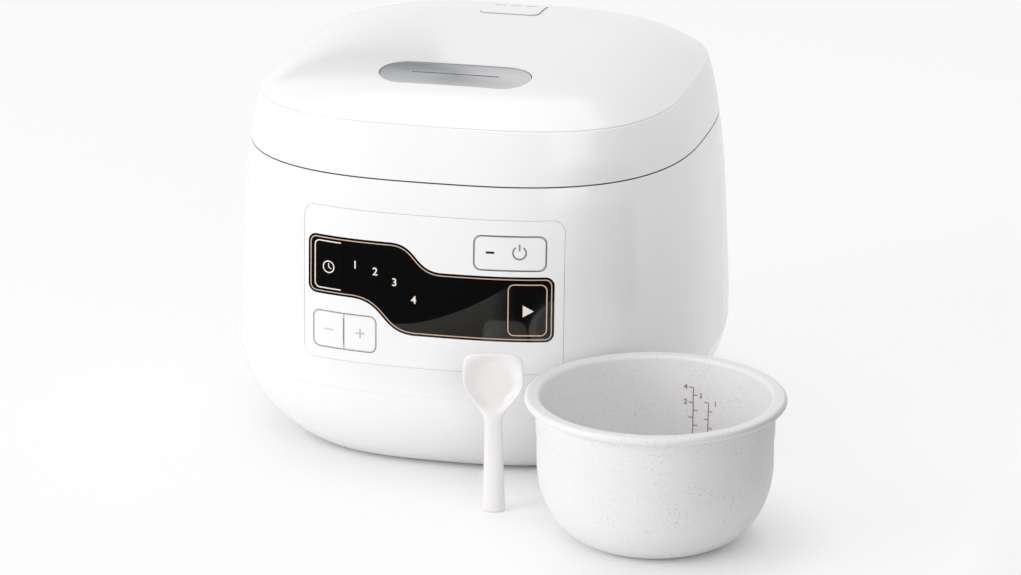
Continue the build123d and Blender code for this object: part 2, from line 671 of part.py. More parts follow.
def make_hinge_spring():
    """Two torsion springs round the pin, one on each side of its middle."""
    spring = coil(HINGE_SPRING_RADIUS, SPRING_WIRE, HINGE_SPRING_LENGTH, HINGE_SPRING_TURNS)
    starts = (-HINGE_SPRING_LENGTH - HINGE_SPRING_APART / 2, HINGE_SPRING_APART / 2)
    return [Pos(start, HINGE_Y, HINGE_Z) * Rot(0, 90, 0) * spring for start in starts]


def latch_slot():
    """Opening in the deck for the hook, long enough for its travel and its swing."""
    front = HOOK_FRONT - HOOK_BARB - HOOK_ROOM / 2
    back = HOOK_FRONT + HOOK_THICKNESS + BUTTON_TRAVEL + HOOK_ROOM
    half = STEM_HALF_WIDTH + HOOK_ROOM
    return block((-half, half), (front, back), (DECK_UNDERSIDE - 1, DECK_TOP + 1))


def make_latch_catch():
    """Steel strip under the deck whose inner edge the hook grips."""
    back = HOOK_FRONT - CATCH_AIR
    strip = block((-CATCH_HALF_WIDTH, CATCH_HALF_WIDTH), (-BODY_DEPTH / 2, back),
                  (DECK_UNDERSIDE - CATCH_THICKNESS, DECK_UNDERSIDE))
    inset = WALL + 2 * ASSEMBLY_FIT + SKIRT_WALL
    return strip & hull(DECK_UNDERSIDE - SKIRT_DEPTH, DECK_TOP, inset, 3)


# ---------------------------------------------------------------- well and heater
def make_well_liner():
    """Drawn aluminium can that hangs from the pot seat, open above, with a hole in its floor."""
    rim = SEAT - SEAT_THICKNESS
    outer, inner = LINER_RADIUS + LINER_THICKNESS, LINER_RADIUS
    flange = RECESS_RADIUS + 1
    floor = LINER_FLOOR - LINER_THICKNESS
    liner = spun(
        (LINER_FLOOR_HOLE, floor), (outer, floor), (outer, rim - LINER_THICKNESS),
        (flange, rim - LINER_THICKNESS), (flange, rim), (inner, rim),
        (inner, LINER_FLOOR), (LINER_FLOOR_HOLE, LINER_FLOOR),
    )
    return liner - terminal_holes()


def pot_curve(radius):
    """Height of the pot's outside above its base at a radius in the rounded part."""
    share = (radius - POT_BASE_RADIUS) / (POT_WALL_RADIUS - POT_WALL_LEAN - POT_BASE_RADIUS)
    return POT_BOWL_HEIGHT * (1 - (1 - share ** 2) ** 0.5)


def make_heating_plate():
    """Cast aluminium plate, dished to the pot's base, with the element cast into its underside."""
    rise = [PLATE_FLAT_RADIUS + (PLATE_RADIUS - PLATE_FLAT_RADIUS) * step / 4 for step in range(5)]
    dish = [(radius, PLATE_TOP + pot_curve(radius)) for radius in rise]
    plate_mid = PLATE_UNDERSIDE + PLATE_THICKNESS / 2
    plate = spun(
        (PLATE_HOLE_RADIUS, PLATE_WEB_LOW), (PLATE_HOLE_RADIUS, PLATE_TOP), *dish,
        (PLATE_RADIUS, plate_mid), (PLATE_RADIUS - 2, PLATE_WEB_LOW),
    )
    plate = plate + Pos(0, 0, PLATE_UNDERSIDE + ELEMENT_SECTION) * Torus(ELEMENT_RADIUS, ELEMENT_SECTION)
    bosses = [rod(POST_RADIUS + 1, PLATE_UNDERSIDE, plate_mid, x, y) for x, y in post_places()]
    return plate + bosses


def make_heater_terminals():
    """The two cold ends of the element, bent down through the floor of the well."""
    low = PLATE_UNDERSIDE + ELEMENT_SECTION - TERMINAL_LENGTH
    return [rod(TERMINAL_RADIUS, low, PLATE_UNDERSIDE, x, y) for x, y in terminal_places()]


def terminal_places():
    return [polar(ELEMENT_RADIUS, 270 + side * TERMINAL_SPREAD / 2) for side in (-1, 1)]


def terminal_holes():
    radius = TERMINAL_RADIUS + TERMINAL_ROOM
    return [rod(radius, BASE_TOP, PLATE_UNDERSIDE, x, y) for x, y in terminal_places()]


def post_places():
    return [polar(POST_CIRCLE, angle) for angle in around(POST_COUNT, 90)]


def make_plate_posts():
    """Ceramic spacers that carry the plate off the floor of the well."""
    return [rod(POST_RADIUS, LINER_FLOOR, PLATE_UNDERSIDE, x, y) for x, y in post_places()]


def make_shield_posts():
    """Ceramic spacers that hang the heat shield under the well."""
    top = LINER_FLOOR - LINER_THICKNESS
    return [rod(POST_RADIUS, SHIELD_TOP, top, x, y) for x, y in post_places()]


def make_heat_shield():
    """Dished sheet that keeps the plate's heat off the boards below."""
    low = SHIELD_TOP - LINER_THICKNESS
    shield = spun(
        (LINER_FLOOR_HOLE, low), (SHIELD_RADIUS, low), (SHIELD_RADIUS + 4, low + 4),
        (SHIELD_RADIUS + 4, low + 4 + LINER_THICKNESS * 1.4), (SHIELD_RADIUS - 0.4, SHIELD_TOP),
        (LINER_FLOOR_HOLE, SHIELD_TOP),
    )
    return shield - terminal_holes()


SENSOR_TOP = PLATE_TOP + SENSOR_PROUD
SENSOR_LOW = SENSOR_TOP - SENSOR_HEIGHT
SENSOR_CUP_LOW = PLATE_WEB_LOW - SENSOR_CUP_DEPTH


def make_sensor_can():
    """Aluminium cap of the temperature sensor, pressed up against the pot's base."""
    can = rod(SENSOR_RADIUS, SENSOR_LOW, SENSOR_TOP)
    can = fillet(can.edges().group_by(Axis.Z)[-1], SENSOR_EDGE)
    return can - rod(SENSOR_RADIUS - SENSOR_SHEET, SENSOR_LOW - 1, SENSOR_TOP - SENSOR_SHEET)


def make_sensor_cup():
    """Bracket under the plate that guides the sensor and seats its spring."""
    top, sheet = PLATE_WEB_LOW, SENSOR_CUP_SHEET
    outer, inner = SENSOR_CUP_RADIUS, SENSOR_CUP_RADIUS - sheet
    flange, hole = SENSOR_CUP_RADIUS + SENSOR_CUP_FLANGE, SENSOR_CUP_FLANGE
    return spun(
        (hole, SENSOR_CUP_LOW), (outer, SENSOR_CUP_LOW), (outer, top - sheet), (flange, top - sheet),
        (flange, top), (inner, top), (inner, SENSOR_CUP_LOW + sheet), (hole, SENSOR_CUP_LOW + sheet),
    )


def make_sensor_spring():
    """Coil that presses the sensor's cap up against the pot."""
    low = SENSOR_CUP_LOW + SENSOR_CUP_SHEET + SPRING_WIRE
    height = SENSOR_TOP - SENSOR_SHEET - SPRING_WIRE - low
    return Pos(0, 0, low) * coil(SENSOR_SPRING_RADIUS, SPRING_WIRE, height, 5)


def make_thermal_fuse():
    """Thermal cut-out clipped to the outside of the well."""
    y = LINER_RADIUS + LINER_THICKNESS + FUSE_RADIUS
    return bar(FUSE_RADIUS, -FUSE_LENGTH / 2, FUSE_LENGTH / 2, y, LINER_FLOOR + FUSE_RISE)


# ---------------------------------------------------------------- panel pieces
def make_control_fascia():
    """Curved white fascia with openings for the window and three keys."""
    face = panel_outline() - window_outline(WINDOW_FIT)
    for name in KEY_BOXES:
        if name not in WINDOW_KEYS:
            face = face - key_outline(name, KEY_GAP)
    return skin(face, 0, FASCIA_THICKNESS)


def make_display_window():
    """Smoked window with openings for the two keys set in it."""
    face = window_outline()
    for name in WINDOW_KEYS:
        face = face - key_outline(name, KEY_GAP)
    return skin(face, 0, FASCIA_THICKNESS)


def make_key(name):
    """A curved key cap flush with the panel, its flange behind the panel and its stem."""
    cap = skin(key_outline(name), 0, FASCIA_THICKNESS + KEY_GAP + KEY_FLANGE_THICKNESS)
    flange_edge = PAIR_FLANGE if name in PAIRED_KEYS else KEY_FLANGE + KEY_GAP
    inner = FASCIA_THICKNESS + KEY_GAP
    flange = skin(key_outline(name, flange_edge), inner, inner + KEY_FLANGE_THICKNESS)
    x, z = key_centre(name)
    stem_end = BOARD_Y - SWITCH_HEIGHT - KEY_TRAVEL - STEM_AIR
    stem = front_pin(KEY_STEM_RADIUS, x, z, stem_end, BODY_DEPTH / 4)
    stem = stem & hull(PANEL_LOW - PANEL_LEDGE, PANEL_HIGH + PANEL_LEDGE, inner + KEY_FLANGE_THICKNESS / 2)
    return one(cap + [flange, stem])


def front_pin(radius, x, z, back, length):
    """A round pin that runs forward from a Y position."""
    base = (Align.CENTER, Align.CENTER, Align.MIN)
    return Pos(x, back, z) * Rot(90, 0, 0) * Cylinder(radius, length, align=base)


def key_centre(name):
    left, right, low, high = KEY_BOXES[name]
    return (left + right) / 2, (low + high) / 2


def make_board_frame():
    """Shroud behind the panel opening that carries the control board on four lugs."""
    margin = PANEL_LEDGE - FRAME_MARGIN
    rim = BOARD_Y + BOARD_THICKNESS
    tall = hull(PANEL_LOW - PANEL_LEDGE, PANEL_HIGH + PANEL_LEDGE, WALL + 2 * ASSEMBLY_FIT)
    ring = punch(panel_outline(-margin) - panel_outline(-margin - FRAME_WALL)) & tall
    ring = ring & block((-BODY_WIDTH, BODY_WIDTH), (FRONT, rim + FRAME_LUG_THICKNESS), (0, SEAM_HEIGHT))
    lug_inset = margin + FRAME_LUG / 2 + 1
    across, rise = PANEL_WIDTH / 2 - lug_inset, PANEL_HEIGHT / 2 - lug_inset
    lugs = []
    for sx, sz in ((-1, -1), (-1, 1), (1, -1), (1, 1)):
        place = Pos(sx * across, rim + FRAME_LUG_THICKNESS / 2, PANEL_CENTRE_HEIGHT + sz * rise)
        lugs.append(place * Box(FRAME_LUG, FRAME_LUG_THICKNESS, FRAME_LUG))
    return one(ring + lugs)


def make_control_board():
    """Circuit board behind the panel, on the frame's lugs."""
    margin = PANEL_LEDGE - FRAME_MARGIN + FRAME_WALL + 1
    edge = PANEL_WIDTH / 2 - margin
    low, high = PANEL_LOW + margin, PANEL_HIGH - margin
    return block((-edge, edge), (BOARD_Y, BOARD_Y + BOARD_THICKNESS), (low, high))


def make_switches():
    """Tact switches, one behind each key: a square body and a round plunger."""
    switches = []
    half = SWITCH_SIZE / 2
    front = BOARD_Y - SWITCH_HEIGHT + PLUNGER_LENGTH
    for name in KEY_BOXES:
        x, z = key_centre(name)
        body = block((x - half, x + half), (front, BOARD_Y), (z - half, z + half))
        switches.append(body + front_pin(PLUNGER_RADIUS, x, z, BOARD_Y - 1, SWITCH_HEIGHT - 1))
    return switches


def make_indicator_leds():
    """Lamps behind the four programme marks and the keep-warm lamp."""
    return [on_front(x, rise, LAMP_SIZE) for x, rise in LAMP_SPOTS]


def make_digit_display():
    """Numeric display module behind the dark middle of the window."""
    return on_front(*DISPLAY_SPOT, DISPLAY_SIZE)


def on_front(x, rise, size):
    """A component's box on the front of the control board."""
    place = Pos(x, BOARD_Y - size[1] / 2, PANEL_CENTRE_HEIGHT + rise)
    return place * Box(*size)


# ---------------------------------------------------------------- power electronics and inlet
def make_power_board():
    """Circuit board of the power electronics, on four standoffs of the base."""
    low = BASE_TOP + BOARD_LIFT
    reach = standoff_places()[-1][0] + STANDOFF_RADIUS
    half = POWER_BOARD_DEPTH / 2
    return block((-reach, reach), (-half, half), (low, low + BOARD_THICKNESS))


def on_board(place, size):
    """A component's box on top of the power board."""
    return Pos(*place, BOARD_TOP + size[2] / 2) * Box(*size)


def make_transformer():
    """Mains transformer: laminated core round a wound bobbin."""
    return on_board(TRANSFORMER_PLACE, TRANSFORMER_CORE) + on_board(TRANSFORMER_PLACE, TRANSFORMER_BOBBIN)


def make_relay():
    return on_board(RELAY_PLACE, RELAY_SIZE)


def make_terminal_block():
    """Screw terminals in a row, each in its own well."""
    x, y = TERMINALS_PLACE
    along, tall = TERMINALS_SIZE[1], TERMINALS_SIZE[2]
    pitch = along / TERMINALS_COUNT
    starts = [y - along / 2 + pitch * (step + 0.5) for step in range(TERMINALS_COUNT)]
    top = BOARD_TOP + tall
    wells = [rod(TERMINALS_WELL, top - tall * 0.4, top + 1, x, start) for start in starts]
    return on_board(TERMINALS_PLACE, TERMINALS_SIZE) - wells


def make_capacitors():
    """Two upright filter capacitors of different size."""
    return [rod(radius, BOARD_TOP, BOARD_TOP + tall, x, y) for radius, tall, x, y in CAPACITORS]


def inlet_block(wide, tall, back, front):
    half, rise = wide / 2, tall / 2
    return block((-half, half), (back, front), (INLET_HEIGHT - rise, INLET_HEIGHT + rise))


def make_power_inlet():
    """Moulded mains inlet: flange outside the wall, socket body inside, a keyed cavity."""
    flange = inlet_block(INLET_WIDTH, INLET_TALL, INLET_FACE - INLET_FLANGE_THICKNESS, INLET_FACE)
    flange = fillet(flange.edges().filter_by(Axis.Y), INLET_CORNER)
    wide, tall = INLET_WIDTH - 2 * INLET_FLANGE, INLET_TALL - 2 * INLET_FLANGE
    body = inlet_block(wide, tall, BODY_DEPTH / 2 - INLET_DEPTH, INLET_FACE - 1)
    wide, tall, deep = INLET_CAVITY
    cavity = inlet_block(wide, tall, INLET_FACE - deep, INLET_FACE + 1)
    cavity = chamfer(cavity.edges().filter_by(Axis.Y).group_by(Axis.Z)[-1], INLET_KEYING)
    return flange + body - cavity


def make_inlet_pins():
    """Three flat contact blades: earth above and between the other two."""
    middle = INLET_FACE - INLET_CAVITY[2] + PIN_SIZE[1] / 2
    spots = ((-PIN_PITCH, -PIN_DROP), (0, PIN_DROP), (PIN_PITCH, -PIN_DROP))
    return [Pos(x, middle, INLET_HEIGHT + rise) * Box(*PIN_SIZE) for x, rise in spots]


# ---------------------------------------------------------------- lid
def hinge_notch():
    """Space the rear hinge housing needs, taken out of the lid's pieces."""
    reach = BARREL_RADIUS + HINGE_CLEAR
    half = HINGE_HALF_WIDTH + KNUCKLE_SIDE_GAP
    return block((-half, half), (HINGE_Y - reach, BODY_DEPTH), (PLATE_LOWER, HINGE_Z + reach))


def make_lid_band():
    """Side wall of the lid, from the seam up to the crease, with a rounded-in shoulder."""
    top = SHOULDER_HEIGHT - CREASE_WIDTH / 2
    over = SHOULDER_HEIGHT + 1
    band = hull(LID_EDGE, top) - hull(LID_EDGE - 1, over, LID_WALL)
    shelf_low = top - SHELF_THICKNESS
    shelf = hull(shelf_low, top, LID_WALL / 2, 3) - hull(shelf_low - 1, over, LID_WALL + SHELF_REACH, 3)
    return band + shelf - hinge_notch()


def button_outline(grow=0.0):
    return Pos(0, BUTTON_Y) * SlotOverall(BUTTON_LENGTH + 2 * grow, BUTTON_WIDTH + 2 * grow)


def vent_outline(grow=0.0):
    centre = Pos(0, VENT_FRONT + VENT_DEPTH / 2)
    return centre * RectangleRounded(VENT_WIDTH + 2 * grow, VENT_DEPTH + 2 * grow, VENT_CORNER + grow)


def make_lid_cover():
    """Domed top of the lid, with the button's opening and the steam cap's pocket."""
    low, seat_low = SHOULDER_HEIGHT + CREASE_WIDTH / 2, SHOULDER_HEIGHT - CREASE_WIDTH / 2
    pocket_low, top = POCKET_FLOOR - VENT_SHEET, CROWN_TOP + 1
    pocket = vent_outline(VENT_GAP + POCKET_WALL)
    collar = prism(button_outline(BUTTON_GAP + COLLAR_WALL), COLLAR_LOW, top)
    hollow = crown(LID_WALL) - [collar, prism(pocket, pocket_low, top)]
    opening = prism(button_outline(BUTTON_GAP), seat_low, top)
    room = prism(vent_outline(VENT_GAP), POCKET_FLOOR, top)
    dome = crown() - [hollow, rod(BODY_WIDTH, seat_low, low), opening, room]
    seat = hull(seat_low, low + 1, LID_WALL, 3) - hull(seat_low - 1, low + 2, LID_WALL + WALL, 3)
    return dome + [seat, prism(pocket, pocket_low, POCKET_FLOOR)] - duct_hole(pocket_low, POCKET_FLOOR)


def duct_hole(low, high):
    return rod(DUCT_RADIUS + DUCT_WALL, low - 1, high + 1, 0, DUCT_Y)


def make_release_button():
    """Brushed-metal oval cap that follows the dome, with its wedge stem."""
    top, sheet = CROWN_TOP, BUTTON_SUNK + BUTTON_SHEET
    cap = prism(button_outline(), SHOULDER_HEIGHT - BUTTON_SUNK, top) & crown(BUTTON_SUNK)
    hollow = prism(button_outline(-BUTTON_SKIRT), SHOULDER_HEIGHT - sheet, top) & crown(sheet)
    surface = crown_height(BUTTON_Y) - BUTTON_SUNK
    line = Pos(0, BUTTON_Y) * SlotOverall(GROOVE_LENGTH, GROOVE_WIDTH)
    groove = prism(line, surface - GROOVE_DEPTH, top)
    front, back = stem_faces()
    roof = surface - BUTTON_SHEET / 2
    stem = prism_x(
        STEM_HALF_WIDTH, (front, wedge_height(front) + WEDGE_AIR), (back, wedge_height(back) + WEDGE_AIR),
        (back, roof), (front, roof - 1),
    )
    return cap - [hollow, groove] + stem


def stem_faces():
    """Y of the front and back of the button's stem."""
    return BUTTON_Y - STEM_LENGTH / 2, BUTTON_Y + STEM_LENGTH / 2


def prism_x(half, *points):
    """An outline of (y, z) points, made into a solid centred across X."""
    face = make_face(Plane.YZ * Polyline(*points, close=True))
    return extrude(face, half, both=True)


SLIDER_LOW = LID_EDGE + SLIDER_RISE
SLIDER_TOP = SLIDER_LOW + SLIDER_THICKNESS


def wedge_height(y):
    """Height of the 45 degree wedge line, above the slider by the stem's travel and a little air."""
    return SLIDER_TOP + BUTTON_TRAVEL + WEDGE_FOOT + (y - stem_faces()[0])


def make_latch_slider():
    """Slider with the wedge ramp at its middle and the hook at its front."""
    half = SLIDER_HALF_WIDTH
    plate = block((-half, half), (HOOK_FRONT, SLIDER_TAIL), (SLIDER_LOW, SLIDER_TOP))
    front, back = stem_faces()
    ramp = prism_x(
        STEM_HALF_WIDTH, (front, SLIDER_TOP - 1), (back, SLIDER_TOP - 1), (back, wedge_height(back)),
        (front, wedge_height(front)),
    )
    barb_top = DECK_UNDERSIDE - CATCH_THICKNESS - CATCH_AIR
    barb_low = barb_top - HOOK_BARB_HEIGHT
    tip, rear = HOOK_FRONT - HOOK_BARB, HOOK_FRONT + HOOK_THICKNESS
    hook = prism_x(
        STEM_HALF_WIDTH, (HOOK_FRONT, SLIDER_TOP), (HOOK_FRONT, barb_top), (tip, barb_top),
        (tip, barb_top - 1), (HOOK_FRONT + 0.5, barb_low), (rear, barb_low), (rear, SLIDER_TOP),
    )
    return plate + [ramp, hook]


def make_latch_spring():
    """Coil that pushes the slider forwards, between its tail and the stop of the lid base."""
    spring = coil(COIL_SPRING_RADIUS - SPRING_WIRE, SPRING_WIRE, SPRING_ROOM - 2 * SPRING_WIRE, 6)
    return Pos(0, SLIDER_TAIL + SPRING_WIRE, SLIDER_LOW + SLIDER_THICKNESS / 2) * Rot(-90, 0, 0) * spring


POST_TOP = SLIDER_TOP + BUTTON_TRAVEL + POST_RISE


def button_posts():
    return [(side * (BUTTON_LENGTH / 2 - POST_INSET), BUTTON_Y) for side in (-1, 1)]


def make_button_springs():
    """Two coils that lift the button, one on each post of the lid base."""
    low = POST_TOP + SPRING_WIRE
    high = crown_height(BUTTON_Y) - BUTTON_SUNK - BUTTON_SHEET - 2 * SPRING_WIRE
    spring = coil(COIL_SPRING_RADIUS - SPRING_WIRE, SPRING_WIRE, high - low, 5)
    return [Pos(x, y, low) * spring for x, y in button_posts()]


def make_lid_base():
    """Inner frame of the lid: floor, boss, knuckles, latch rails, spring posts and stiffening ribs."""
    inset, top = LID_WALL + ASSEMBLY_FIT, LID_EDGE + LID_FLOOR
    rim = top + LID_RIM_HEIGHT
    tray = hull(LID_EDGE, rim, inset, 3) - hull(top, rim + 1, inset + LID_RIM, 3)
    additions = [rod(LID_BOSS_RADIUS, PLATE_UPPER, top)]
    for angle in LID_RIB_ANGLES:
        span = (LID_BOSS_RADIUS / 2, reach_at(angle, top, inset + LID_RIM / 2))
        rib = block(span, (-LID_RIB / 2, LID_RIB / 2), (LID_EDGE + 1, rim - 1))
        additions.append(Rot(0, 0, angle) * rib)
    for x, y in button_posts():
        additions.append(rod(COIL_SPRING_RADIUS + 1, LID_EDGE + 1, POST_TOP, x, y))
    tray = tray + additions + latch_rails()
    knuckles = [knuckle(-KNUCKLE_OUTER, -KNUCKLE_INNER), knuckle(KNUCKLE_INNER, KNUCKLE_OUTER)]
    return tray - [hinge_notch(), hook_opening(), duct_hole(PLATE_UPPER, top)] + knuckles


def latch_rails():
    """Guides of the slider: a bed under it, a wall and a lip at each side, and the spring's stop."""
    half, floor, stop = SLIDER_HALF_WIDTH + RAIL_GAP, LID_EDGE + 1, SLIDER_TAIL + SPRING_ROOM
    lip_low = SLIDER_TOP + RAIL_GAP
    rails = [
        block((-half, half), (stop, stop + RAIL_WALL), (floor, lip_low + RAIL_LIP)),
        block((-half, half), (RAIL_FRONT + 8, SLIDER_TAIL - 4), (floor, SLIDER_LOW - RAIL_GAP)),
    ]
    for left, right in ((-half - RAIL_WALL, -half), (half, half + RAIL_WALL)):
        rails.append(block((left, right), (RAIL_FRONT, stop + RAIL_WALL), (floor, lip_low + RAIL_LIP)))
    lip_back = BUTTON_Y - STEM_LENGTH
    for left, right in ((-half - 1, -half + RAIL_WALL), (half - RAIL_WALL, half + 1)):
        rails.append(block((left, right), (RAIL_FRONT, lip_back), (lip_low, lip_low + RAIL_LIP)))
    return rails


def hook_opening():
    """Opening in the lid's floor that the hook passes and slides in."""
    front, back = HOOK_FRONT - HOOK_BARB - HOOK_ROOM / 3, HOOK_FRONT + HOOK_THICKNESS + BUTTON_TRAVEL
    half = STEM_HALF_WIDTH + HOOK_ROOM / 2
    return block((-half, half), (front, back + HOOK_ROOM / 2), (PLATE_LOWER, SLIDER_TOP + BUTTON_TRAVEL))


def knuckle(low, high):
    """One hinge knuckle of the lid: a ring on the pin with an arm forward to the lid's floor."""
    ring = bar(KNUCKLE_RADIUS, low, high, HINGE_Y, HINGE_Z)
    reach = HINGE_Y - BARREL_RADIUS - HINGE_CLEAR
    root = reach - BARREL_RADIUS
    arm = block((low, high), (root, HINGE_Y - 1), (HINGE_Z - KNUCKLE_ARM, HINGE_Z + KNUCKLE_ARM))
    foot = block((low, high), (root, reach), (LID_EDGE + 1, HINGE_Z + 1))
    return ring + [arm, foot] - bar(PIN_RADIUS + PIN_FIT, low - 1, high + 1, HINGE_Y, HINGE_Z)


def make_inner_lid_plate():
    """Aluminium plate inside the lid, with steam holes under the duct and a rolled edge."""
    low, high = PLATE_LOWER - 1, PLATE_UPPER + 1
    plate = rod(INNER_PLATE_RADIUS, PLATE_LOWER, PLATE_UPPER)
    steam = [polar(STEAM_CIRCLE, angle) for angle in around(STEAM_HOLES)]
    holes = [rod(STEAM_HOLE_RADIUS, low, high, x, INNER_PLATE_RADIUS - STEAM_EDGE + y) for x, y in steam]
    holes += [rod(SCREW_RADIUS, low, high, x, y) for x, y in plate_screw_places()]
    bead = Pos(0, 0, PLATE_LOWER) * Torus(INNER_PLATE_RADIUS * 0.8, PLATE_BEAD)
    return plate + bead - holes


def plate_screw_places():
    return [polar(INNER_PLATE_RADIUS * 0.62, angle) for angle in around(3, 270)]


def make_inner_plate_screws():
    return [screw(x, y, PLATE_LOWER, INNER_PLATE_SHEET) for x, y in plate_screw_places()]


def make_lid_gasket():
    """Silicone ring that seals on the pot's flange: a base gripping the plate and a flared lip."""
    inner = INNER_PLATE_RADIUS
    lip_low = SEAT + POT_FLANGE_THICKNESS + GASKET_AIR
    lip = inner + 2 * GASKET_LIP
    return spun(
        (inner, PLATE_UPPER), (inner, PLATE_LOWER - GASKET_AIR), (lip - GASKET_LIP, lip_low),
        (lip, lip_low), (lip, PLATE_LOWER), (GASKET_RADIUS, PLATE_LOWER), (GASKET_RADIUS, PLATE_UPPER),
    )


def make_vent_duct():
    """Silicone sleeve that carries the steam from the inner plate up to the cap."""
    outer = DUCT_RADIUS + DUCT_WALL
    return tube(outer, DUCT_RADIUS, PLATE_UPPER, POCKET_FLOOR, 0, DUCT_Y)


def make_steam_cap():
    """Lift-off steam cap, nearly flush with the dome, with slots at its rear and a spout below."""
    low, top = POCKET_FLOOR + VENT_AIR, CROWN_TOP + 1
    floor_high = low + VENT_SHEET
    cap = prism(vent_outline(), low, top) & crown(-VENT_PROUD)
    hollow = prism(vent_outline(-VENT_SHEET), floor_high, top) & crown(VENT_SHEET)
    slot = SlotOverall(VENT_SLOT[0], VENT_SLOT[1])
    row = VENT_FRONT + VENT_DEPTH - VENT_SLOT_INSET
    slots = [prism(Pos(step * VENT_SLOT_PITCH, row) * slot, floor_high, top) for step in (-1, 0, 1)]
    spout = rod(SPOUT_RADIUS, POCKET_FLOOR - SPOUT_LENGTH, floor_high, 0, DUCT_Y)
    bore = rod(SPOUT_RADIUS - SPOUT_WALL, POCKET_FLOOR - SPOUT_LENGTH - 1, floor_high + 1, 0, DUCT_Y)
    return cap - [hollow, *slots] + spout - bore


# ---------------------------------------------------------------- pot and paddle
def make_inner_pot():
    """Die-cast pot: rounded bowl, slightly leaning wall with a bead, thick rounded flange."""
    wall_low = POT_WALL_RADIUS - POT_WALL_LEAN
    across = wall_low - POT_BASE_RADIUS
    lip = POT_FLANGE_THICKNESS / 2
    inner_low, inner_top = wall_low - POT_WALL, POT_WALL_RADIUS - POT_WALL
    centre = (POT_BASE_RADIUS, POT_BOWL_HEIGHT)
    outer_bowl = EllipticalCenterArc(centre, across, POT_BOWL_HEIGHT, start_angle=270)
    inner_bowl = EllipticalCenterArc(centre, across - POT_WALL, POT_BOWL_HEIGHT - POT_WALL, start_angle=270)
    outside = Polyline(
        (wall_low, POT_BOWL_HEIGHT), (wall_low, POT_BEAD_HEIGHT),
        (wall_low + POT_BEAD, POT_BEAD_HEIGHT + POT_BEAD), (POT_WALL_RADIUS, POT_FLANGE_UNDERSIDE),
        (POT_RIM_RADIUS - lip, POT_FLANGE_UNDERSIDE),
    )
    edge = CenterArc((POT_RIM_RADIUS - lip, POT_HEIGHT - lip), lip, -90, 180)
    mouth = CenterArc((inner_top + lip, POT_HEIGHT - lip), lip, 90, 90)
    flange = Line((POT_RIM_RADIUS - lip, POT_HEIGHT), (inner_top + lip, POT_HEIGHT))
    inside = Line((inner_top, POT_HEIGHT - lip), (inner_low, POT_BOWL_HEIGHT))
    base = Polyline((POT_BASE_RADIUS, POT_WALL), (0, POT_WALL), (0, 0), (POT_BASE_RADIUS, 0))
    profile = outer_bowl + outside + edge + flange + mouth + inside + inner_bowl + base
    pot = revolve(make_face(Plane.XZ * profile), Axis.Z)
    return Pos(*POT_PLACE, 0) * pot


def make_rice_paddle():
    """Rice paddle that stands on the flat end of its handle: a dished blade and a tapered handle."""
    neck = PADDLE_HEIGHT - BLADE_HEIGHT
    sections = []
    for share in (0, 0.35, 0.7, 1):
        wide = HANDLE_FOOT[0] + (HANDLE_NECK[0] - HANDLE_FOOT[0]) * share
        deep = HANDLE_FOOT[1] + (HANDLE_NECK[1] - HANDLE_FOOT[1]) * share
        sections.append(Pos(0, 0, share * (neck + BLADE_ROOT)) * RectangleRounded(wide, deep, deep * 0.42))
    handle = loft(Sketch(children=[section.face() for section in sections]))
    blade = extrude(Plane.XZ * blade_outline(neck - BLADE_ROOT), BLADE_WIDTH, both=True)
    centre = Pos(0, HANDLE_NECK[1] / 3 - BLADE_BOWL_RADIUS, PADDLE_HEIGHT - BLADE_HEIGHT * 0.42)
    hollow = centre * Sphere(BLADE_BOWL_RADIUS)
    blade = blade & (centre * Sphere(BLADE_BOWL_RADIUS + BLADE_SHEET) - hollow)
    paddle = one(handle - hollow) + one(blade)
    return Pos(*PADDLE_PLACE, 0) * Rot(0, 0, PADDLE_TURN) * paddle


def blade_outline(low):
    """Front view of the blade: narrow at the neck, widest past its middle, a slightly arched tip."""
    root, half = HANDLE_NECK[0] / 2 - 0.2, BLADE_WIDTH / 2
    edge = (half - 1.2, PADDLE_HEIGHT - BLADE_CORNER)
    tip = (half - BLADE_CORNER * 1.5, PADDLE_HEIGHT - 0.4)
    waist = (half * 0.62, PADDLE_HEIGHT - BLADE_HEIGHT * 0.78)
    widest = (half, PADDLE_HEIGHT - BLADE_HEIGHT * 0.45)
    up, turn, across = (-0.2, 1), (-1, 0.08), (-1, 0)
    side = Spline((root, low), waist, widest, edge, tangents=((0.1, 1), up))
    corner = Spline(edge, tip, tangents=(up, turn))
    top = Spline(tip, (0, PADDLE_HEIGHT), tangents=(turn, across))
    right = side + corner + top
    return make_face(right + mirror(right, Plane.YZ) + Line((root, low), (-root, low)))


